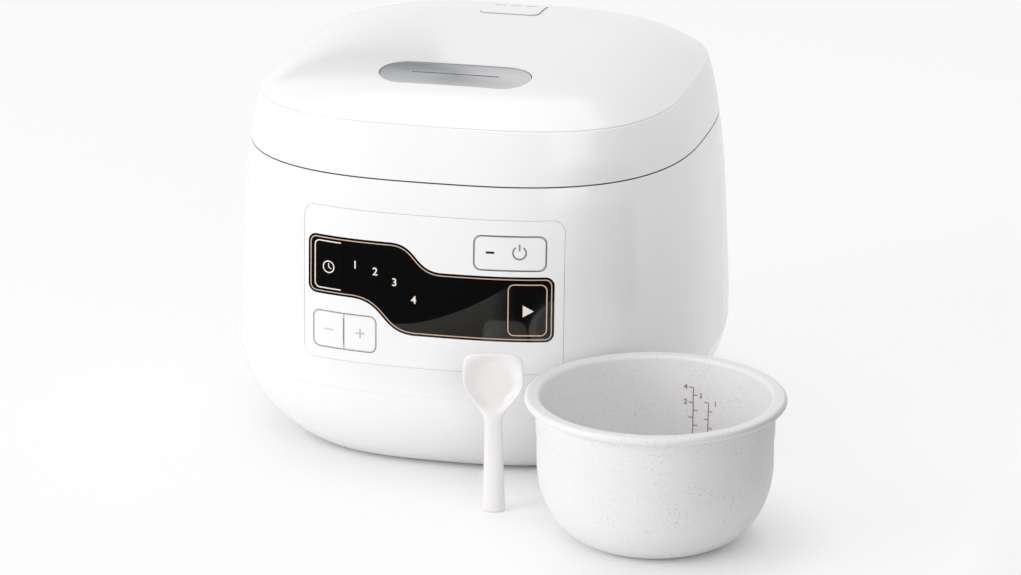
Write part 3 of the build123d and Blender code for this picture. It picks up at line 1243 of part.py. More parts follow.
# ---------------------------------------------------------------- all nodes
NODES = {
    "body_shell": make_body_shell,
    "base_shell": make_base_shell,
    "base_cover": make_base_cover,
    "base_screws": make_base_screws,
    "feet": make_feet,
    "top_ring": make_top_ring,
    "hinge_cover": make_hinge_cover,
    "hinge_pin": make_hinge_pin,
    "hinge_spring": make_hinge_spring,
    "latch_catch": make_latch_catch,
    "well_liner": make_well_liner,
    "heating_plate": make_heating_plate,
    "heater_terminals": make_heater_terminals,
    "plate_posts": make_plate_posts,
    "shield_posts": make_shield_posts,
    "heat_shield": make_heat_shield,
    "sensor_can": make_sensor_can,
    "sensor_cup": make_sensor_cup,
    "sensor_spring": make_sensor_spring,
    "thermal_fuse": make_thermal_fuse,
    "control_fascia": make_control_fascia,
    "display_window": make_display_window,
    "board_frame": make_board_frame,
    "control_board": make_control_board,
    "tact_switches": make_switches,
    "indicator_leds": make_indicator_leds,
    "digit_display": make_digit_display,
    "power_board": make_power_board,
    "mains_transformer": make_transformer,
    "relay": make_relay,
    "terminal_block": make_terminal_block,
    "filter_capacitors": make_capacitors,
    "power_inlet": make_power_inlet,
    "inlet_pins": make_inlet_pins,
    "lid_band": make_lid_band,
    "lid_cover": make_lid_cover,
    "lid_base": make_lid_base,
    "inner_lid_plate": make_inner_lid_plate,
    "inner_plate_screws": make_inner_plate_screws,
    "lid_gasket": make_lid_gasket,
    "vent_duct": make_vent_duct,
    "release_button": make_release_button,
    "button_springs": make_button_springs,
    "latch_slider": make_latch_slider,
    "latch_spring": make_latch_spring,
    "steam_vent_cap": make_steam_cap,
    "inner_pot": make_inner_pot,
    "rice_paddle": make_rice_paddle,
}


def main():
    os.makedirs("parts", exist_ok=True)
    pieces = {name: make() for name, make in NODES.items()}
    for name in KEY_BOXES:
        pieces[name] = make_key(name)
    for name, piece in pieces.items():
        solids = [one(p) for p in piece] if isinstance(piece, list) else piece.solids()
        node = solids[0] if len(solids) == 1 else Compound(children=solids)
        export_step(node, f"parts/{name}.step")
        size = node.bounding_box().size
        print(f"{name}: {len(solids)} solid(s), {size.X:.1f} x {size.Y:.1f} x {size.Z:.1f} mm")


main()
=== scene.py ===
# %% [markdown]
# # Dressing a compact rice cooker for a white studio
# The construction model gives every piece at its real size and place. This lesson adds what the eye reads:
# finishes, printed marks, a floor, lights and a camera. Nothing here moves or resizes a solid; the paddle
# and three springs get meshes of their own in the same places.

# %% Load the frame
import math

import bmesh
import bpy
import numpy as np
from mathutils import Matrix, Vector
from mathutils.bvhtree import BVHTree


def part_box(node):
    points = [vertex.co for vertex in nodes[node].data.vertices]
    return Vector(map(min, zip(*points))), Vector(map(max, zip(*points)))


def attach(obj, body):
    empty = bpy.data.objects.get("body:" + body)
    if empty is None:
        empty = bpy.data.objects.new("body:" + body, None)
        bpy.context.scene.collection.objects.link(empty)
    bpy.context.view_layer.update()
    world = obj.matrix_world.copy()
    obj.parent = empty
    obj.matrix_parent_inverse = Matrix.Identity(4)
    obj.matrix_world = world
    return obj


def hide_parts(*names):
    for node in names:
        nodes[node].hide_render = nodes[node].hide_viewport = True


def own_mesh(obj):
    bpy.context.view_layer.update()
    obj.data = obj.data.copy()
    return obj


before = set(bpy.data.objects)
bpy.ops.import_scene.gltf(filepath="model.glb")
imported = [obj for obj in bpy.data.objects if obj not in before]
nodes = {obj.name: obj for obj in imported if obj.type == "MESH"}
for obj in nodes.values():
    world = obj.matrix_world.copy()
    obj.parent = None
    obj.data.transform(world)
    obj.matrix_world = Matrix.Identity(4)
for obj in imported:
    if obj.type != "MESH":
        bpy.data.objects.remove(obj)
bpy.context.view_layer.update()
MM = 0.001

# %% [markdown]
# ## Camera
# A long lens a few metres away keeps the upright walls almost parallel, as in a catalogue picture. The
# camera looks a little down and from the right of the control panel, so that the lid, the front and the
# open pot show.

# %% Camera
VIEW_AZIMUTH = math.radians(13.6)
VIEW_ELEVATION = math.radians(18.4)
VIEW_DISTANCE = 2.5
VIEW_TARGET = Vector((13.6, -4.3, 69.2)) * MM
LENS = 166

back = Vector((
    math.sin(VIEW_AZIMUTH) * math.cos(VIEW_ELEVATION),
    -math.cos(VIEW_AZIMUTH) * math.cos(VIEW_ELEVATION),
    math.sin(VIEW_ELEVATION),
))
camera = bpy.data.objects.new("camera", bpy.data.cameras.new("camera"))
bpy.context.scene.collection.objects.link(camera)
camera.data.lens = LENS
camera.location = VIEW_TARGET + back * VIEW_DISTANCE
camera.rotation_euler = back.to_track_quat("Z", "Y").to_euler()
bpy.context.scene.camera = camera
print("camera at", [round(c, 3) for c in camera.location], "lens", LENS)

# %% [markdown]
# ## Colour and nodes
# Colours are written as sRGB hex values, as a paint chart gives them, and turned to the linear values that
# light needs. One helper adds any shader node with its settings and its links.

# %% Helpers for colour and nodes
def linear(hex_colour):
    """An sRGB hex colour as linear red, green, blue and alpha."""
    channels = [int(hex_colour[start:start + 2], 16) / 255 for start in (1, 3, 5)]
    return [c / 12.92 if c <= 0.04045 else ((c + 0.055) / 1.055) ** 2.4 for c in channels] + [1.0]


def add_node(tree, kind, inputs=None, **settings):
    """Adds a node; an input is either a plain value or the socket of another node."""
    node = tree.nodes.new(kind)
    for name, value in settings.items():
        setattr(node, name, value)
    for name, value in (inputs or {}).items():
        if isinstance(value, bpy.types.NodeSocket):
            tree.links.new(value, node.inputs[name])
        else:
            node.inputs[name].default_value = value
    return node


def principled(name, colour, **surface):
    """A material with its main shader: surface names sockets in lower case with underscores."""
    material = bpy.data.materials.new(name)
    material.use_nodes = True
    shader = material.node_tree.nodes["Principled BSDF"]
    shader.inputs["Base Color"].default_value = linear(colour)
    sockets = {socket.name.lower().replace(" ", "_"): socket for socket in shader.inputs}
    for key, value in surface.items():
        sockets[key].default_value = value
    return material, material.node_tree, shader


def millimetres(tree, stretch=(1, 1, 1)):
    """Places on the object in millimetres, squeezed or stretched along each axis."""
    place = add_node(tree, "ShaderNodeTexCoord").outputs["Object"]
    scale = [factor / MM for factor in stretch]
    return add_node(tree, "ShaderNodeMapping", {"Vector": place, "Scale": scale}).outputs["Vector"]


def mix_colours(tree, factor, first, second):
    """A blend of two colours by a factor from another node."""
    node = add_node(tree, "ShaderNodeMix", data_type="RGBA")
    tree.links.new(factor, node.inputs[0])
    node.inputs[6].default_value = linear(first)
    node.inputs[7].default_value = linear(second)
    return node.outputs[2]


def relief(tree, shader, height, depth_mm, strength=1.0):
    """Turns a pattern into surface relief of a real depth in millimetres."""
    bump = add_node(tree, "ShaderNodeBump", {
        "Height": height, "Distance": depth_mm * MM, "Strength": strength,
    })
    tree.links.new(bump.outputs["Normal"], shader.inputs["Normal"])


print("white of the housing, linear:", [round(c, 3) for c in linear("#F4F4F3")[:3]])

# %% [markdown]
# ## Moulded plastics
# Housings of small kitchen appliances are injection-moulded ABS. A polished tool gives the outside its
# gloss, with a very faint waviness where the plastic shrank. Inner frames come from a spark-eroded tool and
# are satin.

# %% Plastics
ABS_IOR = 1.53
WAVE_MM = 14.0               # length of the shrinkage waves
GAP_REACH_MM = 1.0           # a wall this near makes a joint gap, which gets painted shade
GAP_PAINTED_SHADE = "#0C0C0D"
GAP_OPEN = (0.4, 0.8)        # openness at which the shade begins to give way, and is gone
ERODED_GRAIN_MM = 0.5        # spark-eroded grain, drawn a little coarser than real so that it shows
# The window's painted reflection, a paler sheen, in millimetres: its upper edge climbs from left to right
# along a power curve.
SHEEN_LEFT, SHEEN_RIGHT = -16.0, 39.5
SHEEN_FOOT, SHEEN_RISE, SHEEN_CURVE = 86.5, 22.5, 1.6
SHEEN_END = (32.0, 44.0)      # it fades out between these places
SHEEN_SOFTNESS, SHEEN_FADE = 0.6, 24.0


def polished_abs(name, colour, roughness=0.16):
    """Glossy moulded ABS: nearly flat, with a slow waviness, and painted shade where a joint gap is closed
    in.
    """
    material, tree, shader = principled(name, colour, roughness=roughness, ior=ABS_IOR)
    # Painted shade: where another wall is within GAP_REACH_MM, as in a joint gap, the colour darkens towards
    # near black.
    near = add_node(tree, "ShaderNodeAmbientOcclusion", {"Distance": GAP_REACH_MM * MM}, samples=8)
    open_share = add_node(tree, "ShaderNodeMapRange", {
        "Value": near.outputs["AO"], "From Min": GAP_OPEN[0], "From Max": GAP_OPEN[1],
    })
    gap_painted_shade = mix_colours(tree, open_share.outputs["Result"], GAP_PAINTED_SHADE, colour)
    tree.links.new(gap_painted_shade, shader.inputs["Base Color"])
    place = millimetres(tree)
    wave = add_node(tree, "ShaderNodeTexNoise", {"Vector": place, "Scale": 1 / WAVE_MM, "Detail": 1.0})
    relief(tree, shader, wave.outputs["Fac"], 0.02)
    handled = add_node(tree, "ShaderNodeTexNoise", {"Vector": place, "Scale": 0.03, "Detail": 4.0})
    spread = add_node(tree, "ShaderNodeMapRange", {
        "Value": handled.outputs["Fac"], "To Min": roughness * 0.85, "To Max": roughness * 1.2,
    })
    tree.links.new(spread.outputs["Result"], shader.inputs["Roughness"])
    return material


def eroded_plastic(name, colour, roughness=0.45):
    """Satin plastic from a spark-eroded mould, with a fine even grain."""
    material, tree, shader = principled(name, colour, roughness=roughness, ior=1.49)
    place = millimetres(tree)
    grain = add_node(tree, "ShaderNodeTexNoise", {
        "Vector": place, "Scale": 1 / ERODED_GRAIN_MM, "Detail": 3.0,
    })
    relief(tree, shader, grain.outputs["Fac"], 0.03)
    return material


def smoked_acrylic(name):
    """Back-printed acrylic: black in depth under a hard clear gloss, with a paler sheen painted on as a
    reflection.
    """
    material, tree, shader = principled(
        name, "#0B0B0C", roughness=0.12, ior=1.49, coat_weight=0.6, coat_roughness=0.03,
    )
    place = millimetres(tree)
    axes = add_node(tree, "ShaderNodeSeparateXYZ", {"Vector": place})
    share = add_node(tree, "ShaderNodeMapRange", {
        "Value": axes.outputs["X"], "From Min": SHEEN_LEFT, "From Max": SHEEN_RIGHT,
    })
    curve = add_node(tree, "ShaderNodeMath", {0: share.outputs["Result"], 1: SHEEN_CURVE}, operation="POWER")
    edge = add_node(tree, "ShaderNodeMath", {0: curve.outputs[0], 1: SHEEN_RISE, 2: SHEEN_FOOT},
                    operation="MULTIPLY_ADD")
    under = add_node(tree, "ShaderNodeMath", {0: edge.outputs[0], 1: axes.outputs["Z"]},
                     operation="SUBTRACT")
    sheen_zone = add_node(tree, "ShaderNodeMapRange", {
        "Value": under.outputs[0], "From Min": 0.0, "From Max": SHEEN_SOFTNESS,
    })
    right = add_node(tree, "ShaderNodeMapRange", {
        "Value": axes.outputs["X"], "From Min": SHEEN_END[1], "From Max": SHEEN_END[0], "To Max": 1.0,
    })
    both = add_node(tree, "ShaderNodeMath", {0: sheen_zone.outputs[0], 1: right.outputs[0]}, operation="MULTIPLY")
    fade = add_node(tree, "ShaderNodeMapRange", {
        "Value": under.outputs[0], "From Max": SHEEN_FADE, "To Min": 1.0, "To Max": 0.55,
    })
    amount = add_node(tree, "ShaderNodeMath", {0: both.outputs[0], 1: fade.outputs[0]}, operation="MULTIPLY")
    # Painted reflection: below the curved edge the black lightens towards a warm grey, less so lower down,
    # and fades out to the right.
    colour = mix_colours(tree, amount.outputs[0], "#0B0B0C", "#33322F")
    tree.links.new(colour, shader.inputs["Base Color"])
    return material


housing_white = polished_abs("polished white ABS", "#F3F3F3")
lid_white = polished_abs("polished white ABS of the lid", "#F3F3F3", 0.2)
panel_white = polished_abs("printed white polycarbonate film", "#F4F4F5", 0.3)
frame_white = eroded_plastic("satin white polypropylene", "#ECECEA")
black_acrylic = smoked_acrylic("smoked acrylic")
black_plastic = eroded_plastic("black glass-filled nylon", "#141415", 0.5)
print("plastics made")

# %% [markdown]
# ## Metals
# The release button is brushed: an abrasive belt leaves fine parallel scratches that stretch every
# reflection across them. Turned aluminium inside carries rings instead, from spinning in a lathe; drawn
# aluminium is plain.

# %% Metals
BRUSH_PITCH_MM = 0.35        # spacing of the brush lines, coarser than real so that they show
TURNING_PITCH_MM = 0.9       # spacing of the lathe's rings, coarser than real as well


def brushed_metal(name, colour, roughness=0.32):
    """Aluminium with fine parallel scratches along X."""
    material, tree, shader = principled(name, colour, metallic=1.0, roughness=roughness, anisotropic=0.6)
    place = millimetres(tree, (0.02, 1, 1))
    lines = add_node(tree, "ShaderNodeTexNoise", {
        "Vector": place, "Scale": 1 / BRUSH_PITCH_MM, "Detail": 4.0,
    })
    relief(tree, shader, lines.outputs["Fac"], 0.02)
    spread = add_node(tree, "ShaderNodeMapRange", {
        "Value": lines.outputs["Fac"], "To Min": roughness - 0.1, "To Max": roughness + 0.12,
    })
    tree.links.new(spread.outputs["Result"], shader.inputs["Roughness"])
    return material


def turned_metal(name, colour, roughness):
    """Metal with the rings of a lathe round the object's middle."""
    material, tree, shader = principled(name, colour, metallic=1.0, roughness=roughness)
    place = millimetres(tree, (1, 1, 0))
    radius = add_node(tree, "ShaderNodeVectorMath", {0: place}, operation="LENGTH")
    phase = add_node(tree, "ShaderNodeMath", {0: radius.outputs["Value"], 1: math.tau / TURNING_PITCH_MM},
                     operation="MULTIPLY")
    rings = add_node(tree, "ShaderNodeMath", {0: phase.outputs[0]}, operation="SINE")
    relief(tree, shader, rings.outputs[0], 0.02)
    return material


def plain_metal(name, colour, roughness):
    """Drawn or plated metal, a little uneven in gloss."""
    material, tree, shader = principled(name, colour, metallic=1.0, roughness=roughness)
    place = millimetres(tree)
    stain = add_node(tree, "ShaderNodeTexNoise", {"Vector": place, "Scale": 0.2, "Detail": 5.0})
    spread = add_node(tree, "ShaderNodeMapRange", {
        "Value": stain.outputs["Fac"], "To Min": roughness * 0.7, "To Max": roughness * 1.4,
    })
    tree.links.new(spread.outputs["Result"], shader.inputs["Roughness"])
    return material


brushed_silver = brushed_metal("brushed aluminium", "#BDBEC0")
drawn_aluminium = plain_metal("drawn aluminium", "#C9C9C8", 0.3)
cast_aluminium = turned_metal("turned cast aluminium", "#A9A9A8", 0.42)
zinc_steel = plain_metal("zinc-plated steel", "#B4B5B8", 0.35)
brass = plain_metal("brass", "#C9A45C", 0.3)
laminations = plain_metal("varnished steel laminations", "#5A4A40", 0.5)
print("metals made")

# %% [markdown]
# ## Pot coat, paddle and small parts
# The pot is cast aluminium under a stone-look coat: warm white enamel with fine grey flecks sprayed over
# it. The paddle is unfilled polypropylene, which lets light in, so it glows a little at its thin edges.

# %% Pot coat, paddle and small parts
FINE_FLECK_MM = (1.1, 0.24)  # spacing and radius
LARGE_FLECK_MM = (5.2, 0.36)
CLOUD_MM = 16.0              # flecks gather in clouds of about this size


def flecks(tree, place, spacing_mm, radius_mm, seed):
    """Amount of grey at a place: one fleck in each cell of a foam, of a random strength."""
    moved = add_node(tree, "ShaderNodeVectorMath", {0: place, 1: (seed, seed, seed)}, operation="ADD")
    foam = add_node(tree, "ShaderNodeTexVoronoi", {"Vector": moved.outputs[0], "Scale": 1 / spacing_mm})
    inside = add_node(tree, "ShaderNodeMapRange", {
        "Value": foam.outputs["Distance"], "From Min": radius_mm / spacing_mm * 1.3,
        "From Max": radius_mm / spacing_mm * 0.5,
    })
    chance = add_node(tree, "ShaderNodeSeparateColor", {"Color": foam.outputs["Color"]})
    strong = add_node(tree, "ShaderNodeMapRange", {"Value": chance.outputs[0], "From Min": 0.25})
    both = add_node(tree, "ShaderNodeMath", {0: inside.outputs[0], 1: strong.outputs[0]},
                    operation="MULTIPLY")
    return both.outputs[0]


def stone_coat(name):
    """Warm white sprayed coat with two sizes of grey flecks, which gather in clouds."""
    material, tree, shader = principled(name, "#EEEDED", roughness=0.42, ior=1.5)
    place = millimetres(tree)
    clouds = add_node(tree, "ShaderNodeTexNoise", {"Vector": place, "Scale": 1 / CLOUD_MM, "Detail": 2.0})
    crowd = add_node(tree, "ShaderNodeMapRange", {
        "Value": clouds.outputs["Fac"], "From Min": 0.4, "From Max": 0.62, "To Min": 0.15,
    })
    fine = flecks(tree, place, FINE_FLECK_MM[0], FINE_FLECK_MM[1], 0.0)
    large = flecks(tree, place, LARGE_FLECK_MM[0], LARGE_FLECK_MM[1], 7.3)
    both = add_node(tree, "ShaderNodeMath", {0: fine, 1: large}, operation="MAXIMUM")
    amount = add_node(tree, "ShaderNodeMath", {0: both.outputs[0], 1: crowd.outputs[0]}, operation="MULTIPLY")
    tree.links.new(mix_colours(tree, amount.outputs[0], "#EEEDED", "#8F8C8A"), shader.inputs["Base Color"])
    spray = add_node(tree, "ShaderNodeTexNoise", {"Vector": place, "Scale": 0.8, "Detail": 3.0})
    relief(tree, shader, spray.outputs["Fac"], 0.04)
    return material


def translucent_plastic(name, colour, roughness=0.3, radius_mm=3.0):
    """Unfilled plastic or rubber that light enters by a few millimetres."""
    material, tree, shader = principled(
        name, colour, roughness=roughness, ior=1.49, subsurface_weight=0.3, subsurface_scale=radius_mm * MM,
        subsurface_radius=(1.0, 0.9, 0.85),
    )
    place = millimetres(tree)
    wave = add_node(tree, "ShaderNodeTexNoise", {"Vector": place, "Scale": 0.12, "Detail": 2.0})
    relief(tree, shader, wave.outputs["Fac"], 0.05)
    return material


def circuit_board(name):
    """Green solder mask with paler tracks."""
    material, tree, shader = principled(name, "#0F5A2C", roughness=0.35, ior=1.5)
    place = millimetres(tree)
    tracks = add_node(tree, "ShaderNodeTexBrick", {
        "Vector": place, "Scale": 0.25, "Mortar Size": 0.05,
        "Color1": linear("#0F5A2C"), "Color2": linear("#15663A"), "Mortar": linear("#3E8A4E"),
    })
    tree.links.new(tracks.outputs["Color"], shader.inputs["Base Color"])
    return material


pot_coat = stone_coat("stone-look ceramic coat")
paddle_white = translucent_plastic("unfilled polypropylene", "#EFEDEC")
silicone = translucent_plastic("food-grade silicone", "#E9E8E4", 0.5, 2.0)
foot_rubber = eroded_plastic("grey rubber", "#4A4A4C", 0.75)
steatite = eroded_plastic("steatite ceramic", "#E2DDD0", 0.6)
board_green = circuit_board("solder mask")
relay_blue = eroded_plastic("blue moulded polyester", "#23447E", 0.4)
lamp_red = translucent_plastic("tinted lamp lens", "#C8382A", 0.2, 1.0)
print("materials so far:", len(bpy.data.materials))

# %% [markdown]
# ## Give every solid its finish
# Each solid keeps its mesh and gets the finish that its real piece has.

# %% Assign the finishes
FINISHES = {
    housing_white: ("body_shell", "base_shell"),
    lid_white: ("lid_band", "lid_cover", "steam_vent_cap"),
    panel_white: ("control_fascia", "hour_key", "minute_key", "keep_warm_key"),
    frame_white: ("base_cover", "top_ring", "hinge_cover", "board_frame", "lid_base", "latch_slider"),
    black_acrylic: ("display_window", "preset_key", "function_key"),
    black_plastic: ("power_inlet", "thermal_fuse", "tact_switches", "digit_display", "filter_capacitors"),
    brushed_silver: ("release_button",),
    drawn_aluminium: ("well_liner", "heat_shield", "sensor_can", "inner_lid_plate"),
    cast_aluminium: ("heating_plate",),
    zinc_steel: (
        "base_screws", "hinge_pin", "hinge_spring", "latch_catch", "heater_terminals", "sensor_cup",
        "sensor_spring", "inner_plate_screws", "button_springs", "latch_spring",
    ),
    brass: ("inlet_pins",),
    laminations: ("mains_transformer",),
    pot_coat: ("inner_pot",),
    paddle_white: ("rice_paddle",),
    silicone: ("lid_gasket", "vent_duct"),
    foot_rubber: ("feet",),
    steatite: ("plate_posts", "shield_posts"),
    board_green: ("control_board", "power_board"),
    relay_blue: ("relay", "terminal_block"),
    lamp_red: ("indicator_leds",),
}
for material, names in FINISHES.items():
    for name in names:
        mesh = nodes[name].data
        mesh.materials.clear()
        mesh.materials.append(material)
dressed = [name for names in FINISHES.values() for name in names]
print("dressed:", len(dressed), "left plain:", sorted(set(nodes) - set(dressed)))

# %% [markdown]
# ## Closed joints
# The lid's crown is clipped to the band under it, and the base to the body, so tightly that each joint
# reads as a soft fold. A slim lip closes each joint: rays find both edges at many places round the object,
# and the lip's outside runs from one edge to the other with a shallow dip.

# %% Lips that close two joints
LIP_PLACES = 480             # places round the object
LIP_DEEP = 0.6               # millimetres that the lip reaches in behind the edges
LIP_INSET = 0.02             # and how far its outside stays within them
LIP_STEPS = 7                # points across the lip's outside
RAY_START = 200.0            # millimetres from the middle, outside every wall


def ray_target(names):
    """A tree of the faces of several solids, for shooting rays at."""
    points, faces = [], []
    for name in names:
        mesh = nodes[name].data
        start = len(points)
        points += [vertex.co.copy() for vertex in mesh.vertices]
        faces += [[start + index for index in face.vertices] for face in mesh.polygons]
    return BVHTree.FromPolygons(points, faces)


def new_piece(name, points, faces, body, material):
    """A closed mesh in metres from points in millimetres, faces turned outwards, which rides on a body."""
    mesh = bpy.data.meshes.new(name)
    mesh.from_pydata([Vector(point) * MM for point in points], [], faces)
    mesh.validate()
    shell = bmesh.new()
    shell.from_mesh(mesh)
    bmesh.ops.recalc_face_normals(shell, faces=shell.faces)
    shell.to_mesh(mesh)
    shell.free()
    mesh.materials.append(material)
    piece = bpy.data.objects.new(name, mesh)
    bpy.context.scene.collection.objects.link(piece)
    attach(piece, body)
    return piece


def shade_smooth(piece, sharp_degrees=40):
    """Rounded shading, except across edges that turn by more than an angle."""
    piece.data.shade_smooth()
    piece.data.set_sharp_from_angle(angle=math.radians(sharp_degrees))


def closed_rings(name, rings, body, material, capped=False):
    """A mesh from closed rings of points; the last ring joins the first, or both ends are capped."""
    count = len(rings[0])
    points = [point for ring in rings for point in ring]
    turns = len(rings) if not capped else len(rings) - 1
    faces = []
    for turn in range(turns):
        here, there = turn * count, (turn + 1) % len(rings) * count
        steps = [(k, (k + 1) % count) for k in range(count)]
        faces += [(here + k, here + after, there + after, there + k) for k, after in steps]
    if capped:
        faces += [tuple(range(count))[::-1], tuple((len(rings) - 1) * count + k for k in range(count))]
    piece = new_piece(name, points, faces, body, material)
    shade_smooth(piece)
    return piece


def joint_lip(name, lower, upper, dip, body, slot, material):
    """A slim lip between two solids' edges; lower and upper give (tree of faces, height) of each edge."""
    rings = []
    for angle in np.linspace(0, math.tau, LIP_PLACES, endpoint=False):
        out = Vector((math.cos(angle), math.sin(angle), 0))
        edge = []
        for tree, height, probe in (lower, upper):
            start = Vector((0, 0, probe)) + out * RAY_START
            edge.append((tree.ray_cast(start * MM, -out)[0].xy.length / MM, height))
        (low_radius, low_z), (high_radius, high_z) = edge
        outline = []
        for share in np.linspace(0, 1, LIP_STEPS):
            radius = low_radius + (high_radius - low_radius) * share
            inward = LIP_INSET + dip * math.sin(math.pi * share)
            outline.append((radius - inward, low_z + (high_z - low_z) * share))
        deep = min(low_radius, high_radius) - LIP_DEEP
        outline += [(deep, high_z), (deep, low_z)]
        rings.append([(out.x * radius, out.y * radius, z) for radius, z in outline])
    return closed_rings(name, rings, body, material)


FOLD_GAP, FOLD_DIP = 0.9, 0.3    # millimetres between the band and the cover, and how far the fold sinks
BASE_GAP, BASE_DIP = 0.5, 0.03
PROBE = 0.05                 # how far inside an edge the rays meet its solid


def edges(lower, upper, gap):
    """The two edges of a joint: each solid's faces, its edge's height and the height for the rays."""
    height = round(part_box(lower)[1].z / MM, 2)
    return ((ray_target([lower]), height, height - PROBE),
            (ray_target([upper]), height + gap, height + gap + PROBE))


joint_lip("lid_fold", *edges("lid_band", "lid_cover", FOLD_GAP), FOLD_DIP, "lid", "white_lid", lid_white)
joint_lip("base_fold", *edges("base_shell", "body_shell", BASE_GAP), BASE_DIP, "cooker", "white_gloss",
          housing_white)
print("joints closed, gaps in mm:", FOLD_GAP, BASE_GAP)

# %% [markdown]
# ## Rice paddle
# The paddle is one moulding: a spoon-like blade with a soft rim, a slim neck and an oval handle that widens
# to the foot it stands on. A stack of closed rings gives the whole outline, and each ring's points are
# pushed back where the blade is hollow, so that no line shows where the handle ends.

# %% Rice paddle
# Lengths in millimetres; heights are counted from the table.
PADDLE_TURN = math.radians(10)
PADDLE_Y = -150.0
PADDLE_MARGIN = 0.05         # left free at the foot and the tip
BLADE_HALF = 15.4            # half the blade's width
BLADE_MIDDLE = 70.0          # height at which the blade is widest
BLADE_CORNER_POWER = 5       # the higher, the squarer the blade's upper corners
NECK_LOW, NECK_HIGH = 48.0, 60.0
HANDLE_HALF = (5.9, 4.6)     # half the handle's width at the foot and at the neck
HANDLE_DEEP = (4.6, 3.1)     # and half its depth
HANDLE_SLIM = (42.0, 45.0)   # heights at which width and depth reach those of the neck
FOOT_ROUNDING = 1.2
SHEET_HALF = 0.95            # half the blade's thickness
RIM_FORWARD = 1.5
BOWL_DEEP = 4.0
BOWL_MIDDLE, BOWL_FOOT = 68.0, 50.0
RING_POINTS = 48
RING_STEP = 1.5              # between the rings of the handle and the neck
TIP_RINGS = 26


def smooth_step(share):
    """0 to 1 with level ends."""
    share = min(1.0, max(0.0, share))
    return share * share * (3 - 2 * share)


def foot_rounding(z):
    """Share of its size that the handle has at a height, a little less at the very foot."""
    return 1 - 0.1 * max(0.0, 1 - z / FOOT_ROUNDING) ** 2


def paddle_half(z, top):
    """Half the paddle's width at a height."""
    if z > BLADE_MIDDLE:
        rise = min(1.0, (z - BLADE_MIDDLE) / (top - BLADE_MIDDLE))
        return BLADE_HALF * (1 - rise ** BLADE_CORNER_POWER) ** (1 / BLADE_CORNER_POWER)
    foot, neck = HANDLE_HALF
    handle = neck + (foot - neck) * max(0.0, 1 - z / HANDLE_SLIM[0]) ** 1.3
    share = smooth_step(max(0.0, (z - NECK_LOW) / (BLADE_MIDDLE - NECK_LOW)) ** 0.9)
    return (handle + (BLADE_HALF - handle) * share) * foot_rounding(z)


def paddle_point(across, side, z, top):
    """A place on the paddle: across runs from -1 to 1 over its width, side is -1 in front and 1 behind."""
    half = paddle_half(z, top)
    blade = smooth_step((z - NECK_LOW) / (NECK_HIGH - NECK_LOW))
    rise = max(0.0, z - BLADE_MIDDLE) / (top - BLADE_MIDDLE)
    wide = across * half / BLADE_HALF if rise else across
    inside = max(0.0, 1 - abs(wide) ** BLADE_CORNER_POWER - rise ** BLADE_CORNER_POWER)
    round_edge = math.sqrt(1 - (1 - min(1.0, inside / 0.3)) ** 2)
    oval = math.sqrt(max(0.0, 1 - across * across)) ** 0.8
    foot, neck = HANDLE_DEEP
    handle = (neck + (foot - neck) * max(0.0, 1 - z / HANDLE_SLIM[1])) * oval * foot_rounding(z)
    thickness = handle + (SHEET_HALF * round_edge - handle) * blade
    reach = (z - BOWL_MIDDLE) / ((top if z > BOWL_MIDDLE else BOWL_FOOT) - BOWL_MIDDLE)
    bowl = smooth_step(max(0.0, 1 - abs(wide) ** 2.4 - max(0.0, min(1.0, reach)) ** 2.4) / 0.75)
    return across * half, side * thickness + blade * (BOWL_DEEP * bowl - RIM_FORWARD)


paddle_low, paddle_high = [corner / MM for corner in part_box("rice_paddle")]
paddle_x, tip = (paddle_low.x + paddle_high.x) / 2, paddle_high.z - PADDLE_MARGIN
heights = [PADDLE_MARGIN, 0.3, 0.7, FOOT_ROUNDING] + list(np.arange(2.5, BLADE_MIDDLE, RING_STEP))
heights += [BLADE_MIDDLE + (tip - BLADE_MIDDLE) * math.sin(turn) ** (2 / BLADE_CORNER_POWER)
            for turn in np.radians(np.linspace(2, 88, TIP_RINGS))]
rings = []
for z in heights:
    ring = []
    for turn in np.linspace(0, math.tau, RING_POINTS, endpoint=False):
        x, y = paddle_point(math.sin(turn), -1 if math.cos(turn) > 0 else 1, z, tip)
        ring.append((paddle_x + x * math.cos(PADDLE_TURN) - y * math.sin(PADDLE_TURN),
                     PADDLE_Y + x * math.sin(PADDLE_TURN) + y * math.cos(PADDLE_TURN), z))
    rings.append(ring)
paddle = closed_rings("paddle", rings, "paddle", paddle_white, capped=True)
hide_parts("rice_paddle")
print("paddle rings:", len(rings))

# %% [markdown]
# ## Springs
# A compression spring shortens between its seat and the piece that pushes it. Each spring's mesh is copied
# and the copy rides on the body of its seat, in place of the original, which is hidden.

# %% Copies of the springs
# node, joint that presses it, axis number, whether the seat is its high end, body of the seat
SPRINGS = (
    ("button_springs", "button_press", 2, False, "lid"),
    ("latch_spring", "latch_slide", 1, True, "lid"),
    ("sensor_spring", "sensor_press", 2, False, "cooker"),
)
for node, joint, axis, seat_high, body in SPRINGS:
    spring = bpy.data.objects.new("pressed_" + node, nodes[node].data.copy())
    bpy.context.scene.collection.objects.link(spring)
    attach(spring, body)
    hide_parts(node)
    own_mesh(spring)

# %% [markdown]
# ## The panel's curve
# Printed marks have to lie on the curved panel. Rays shot at its solids give depths at a grid of places,
# and a smooth polynomial through them gives the depth anywhere, without the gaps round the keys.

# %% Fit the panel's curve
PANEL_SOLIDS = ("control_fascia", "display_window", "preset_key", "function_key", "hour_key", "minute_key",
                "keep_warm_key")
INK_LIFT = 0.07              # millimetres between the panel and the middle of the ink
INK_THICKNESS = 0.06
CURVE_MIDDLE, CURVE_REACH = (0, 100), (60, 40)  # the fit counts from here, in steps of this size


def terms(x, z):
    """The polynomial's terms at a place: even in x, because the panel is the same on both sides."""
    across = (x - CURVE_MIDDLE[0]) / CURVE_REACH[0]
    up = (z - CURVE_MIDDLE[1]) / CURVE_REACH[1]
    return [across ** power * up ** rise for power in (0, 2, 4, 6) for rise in (0, 1, 2, 3)]


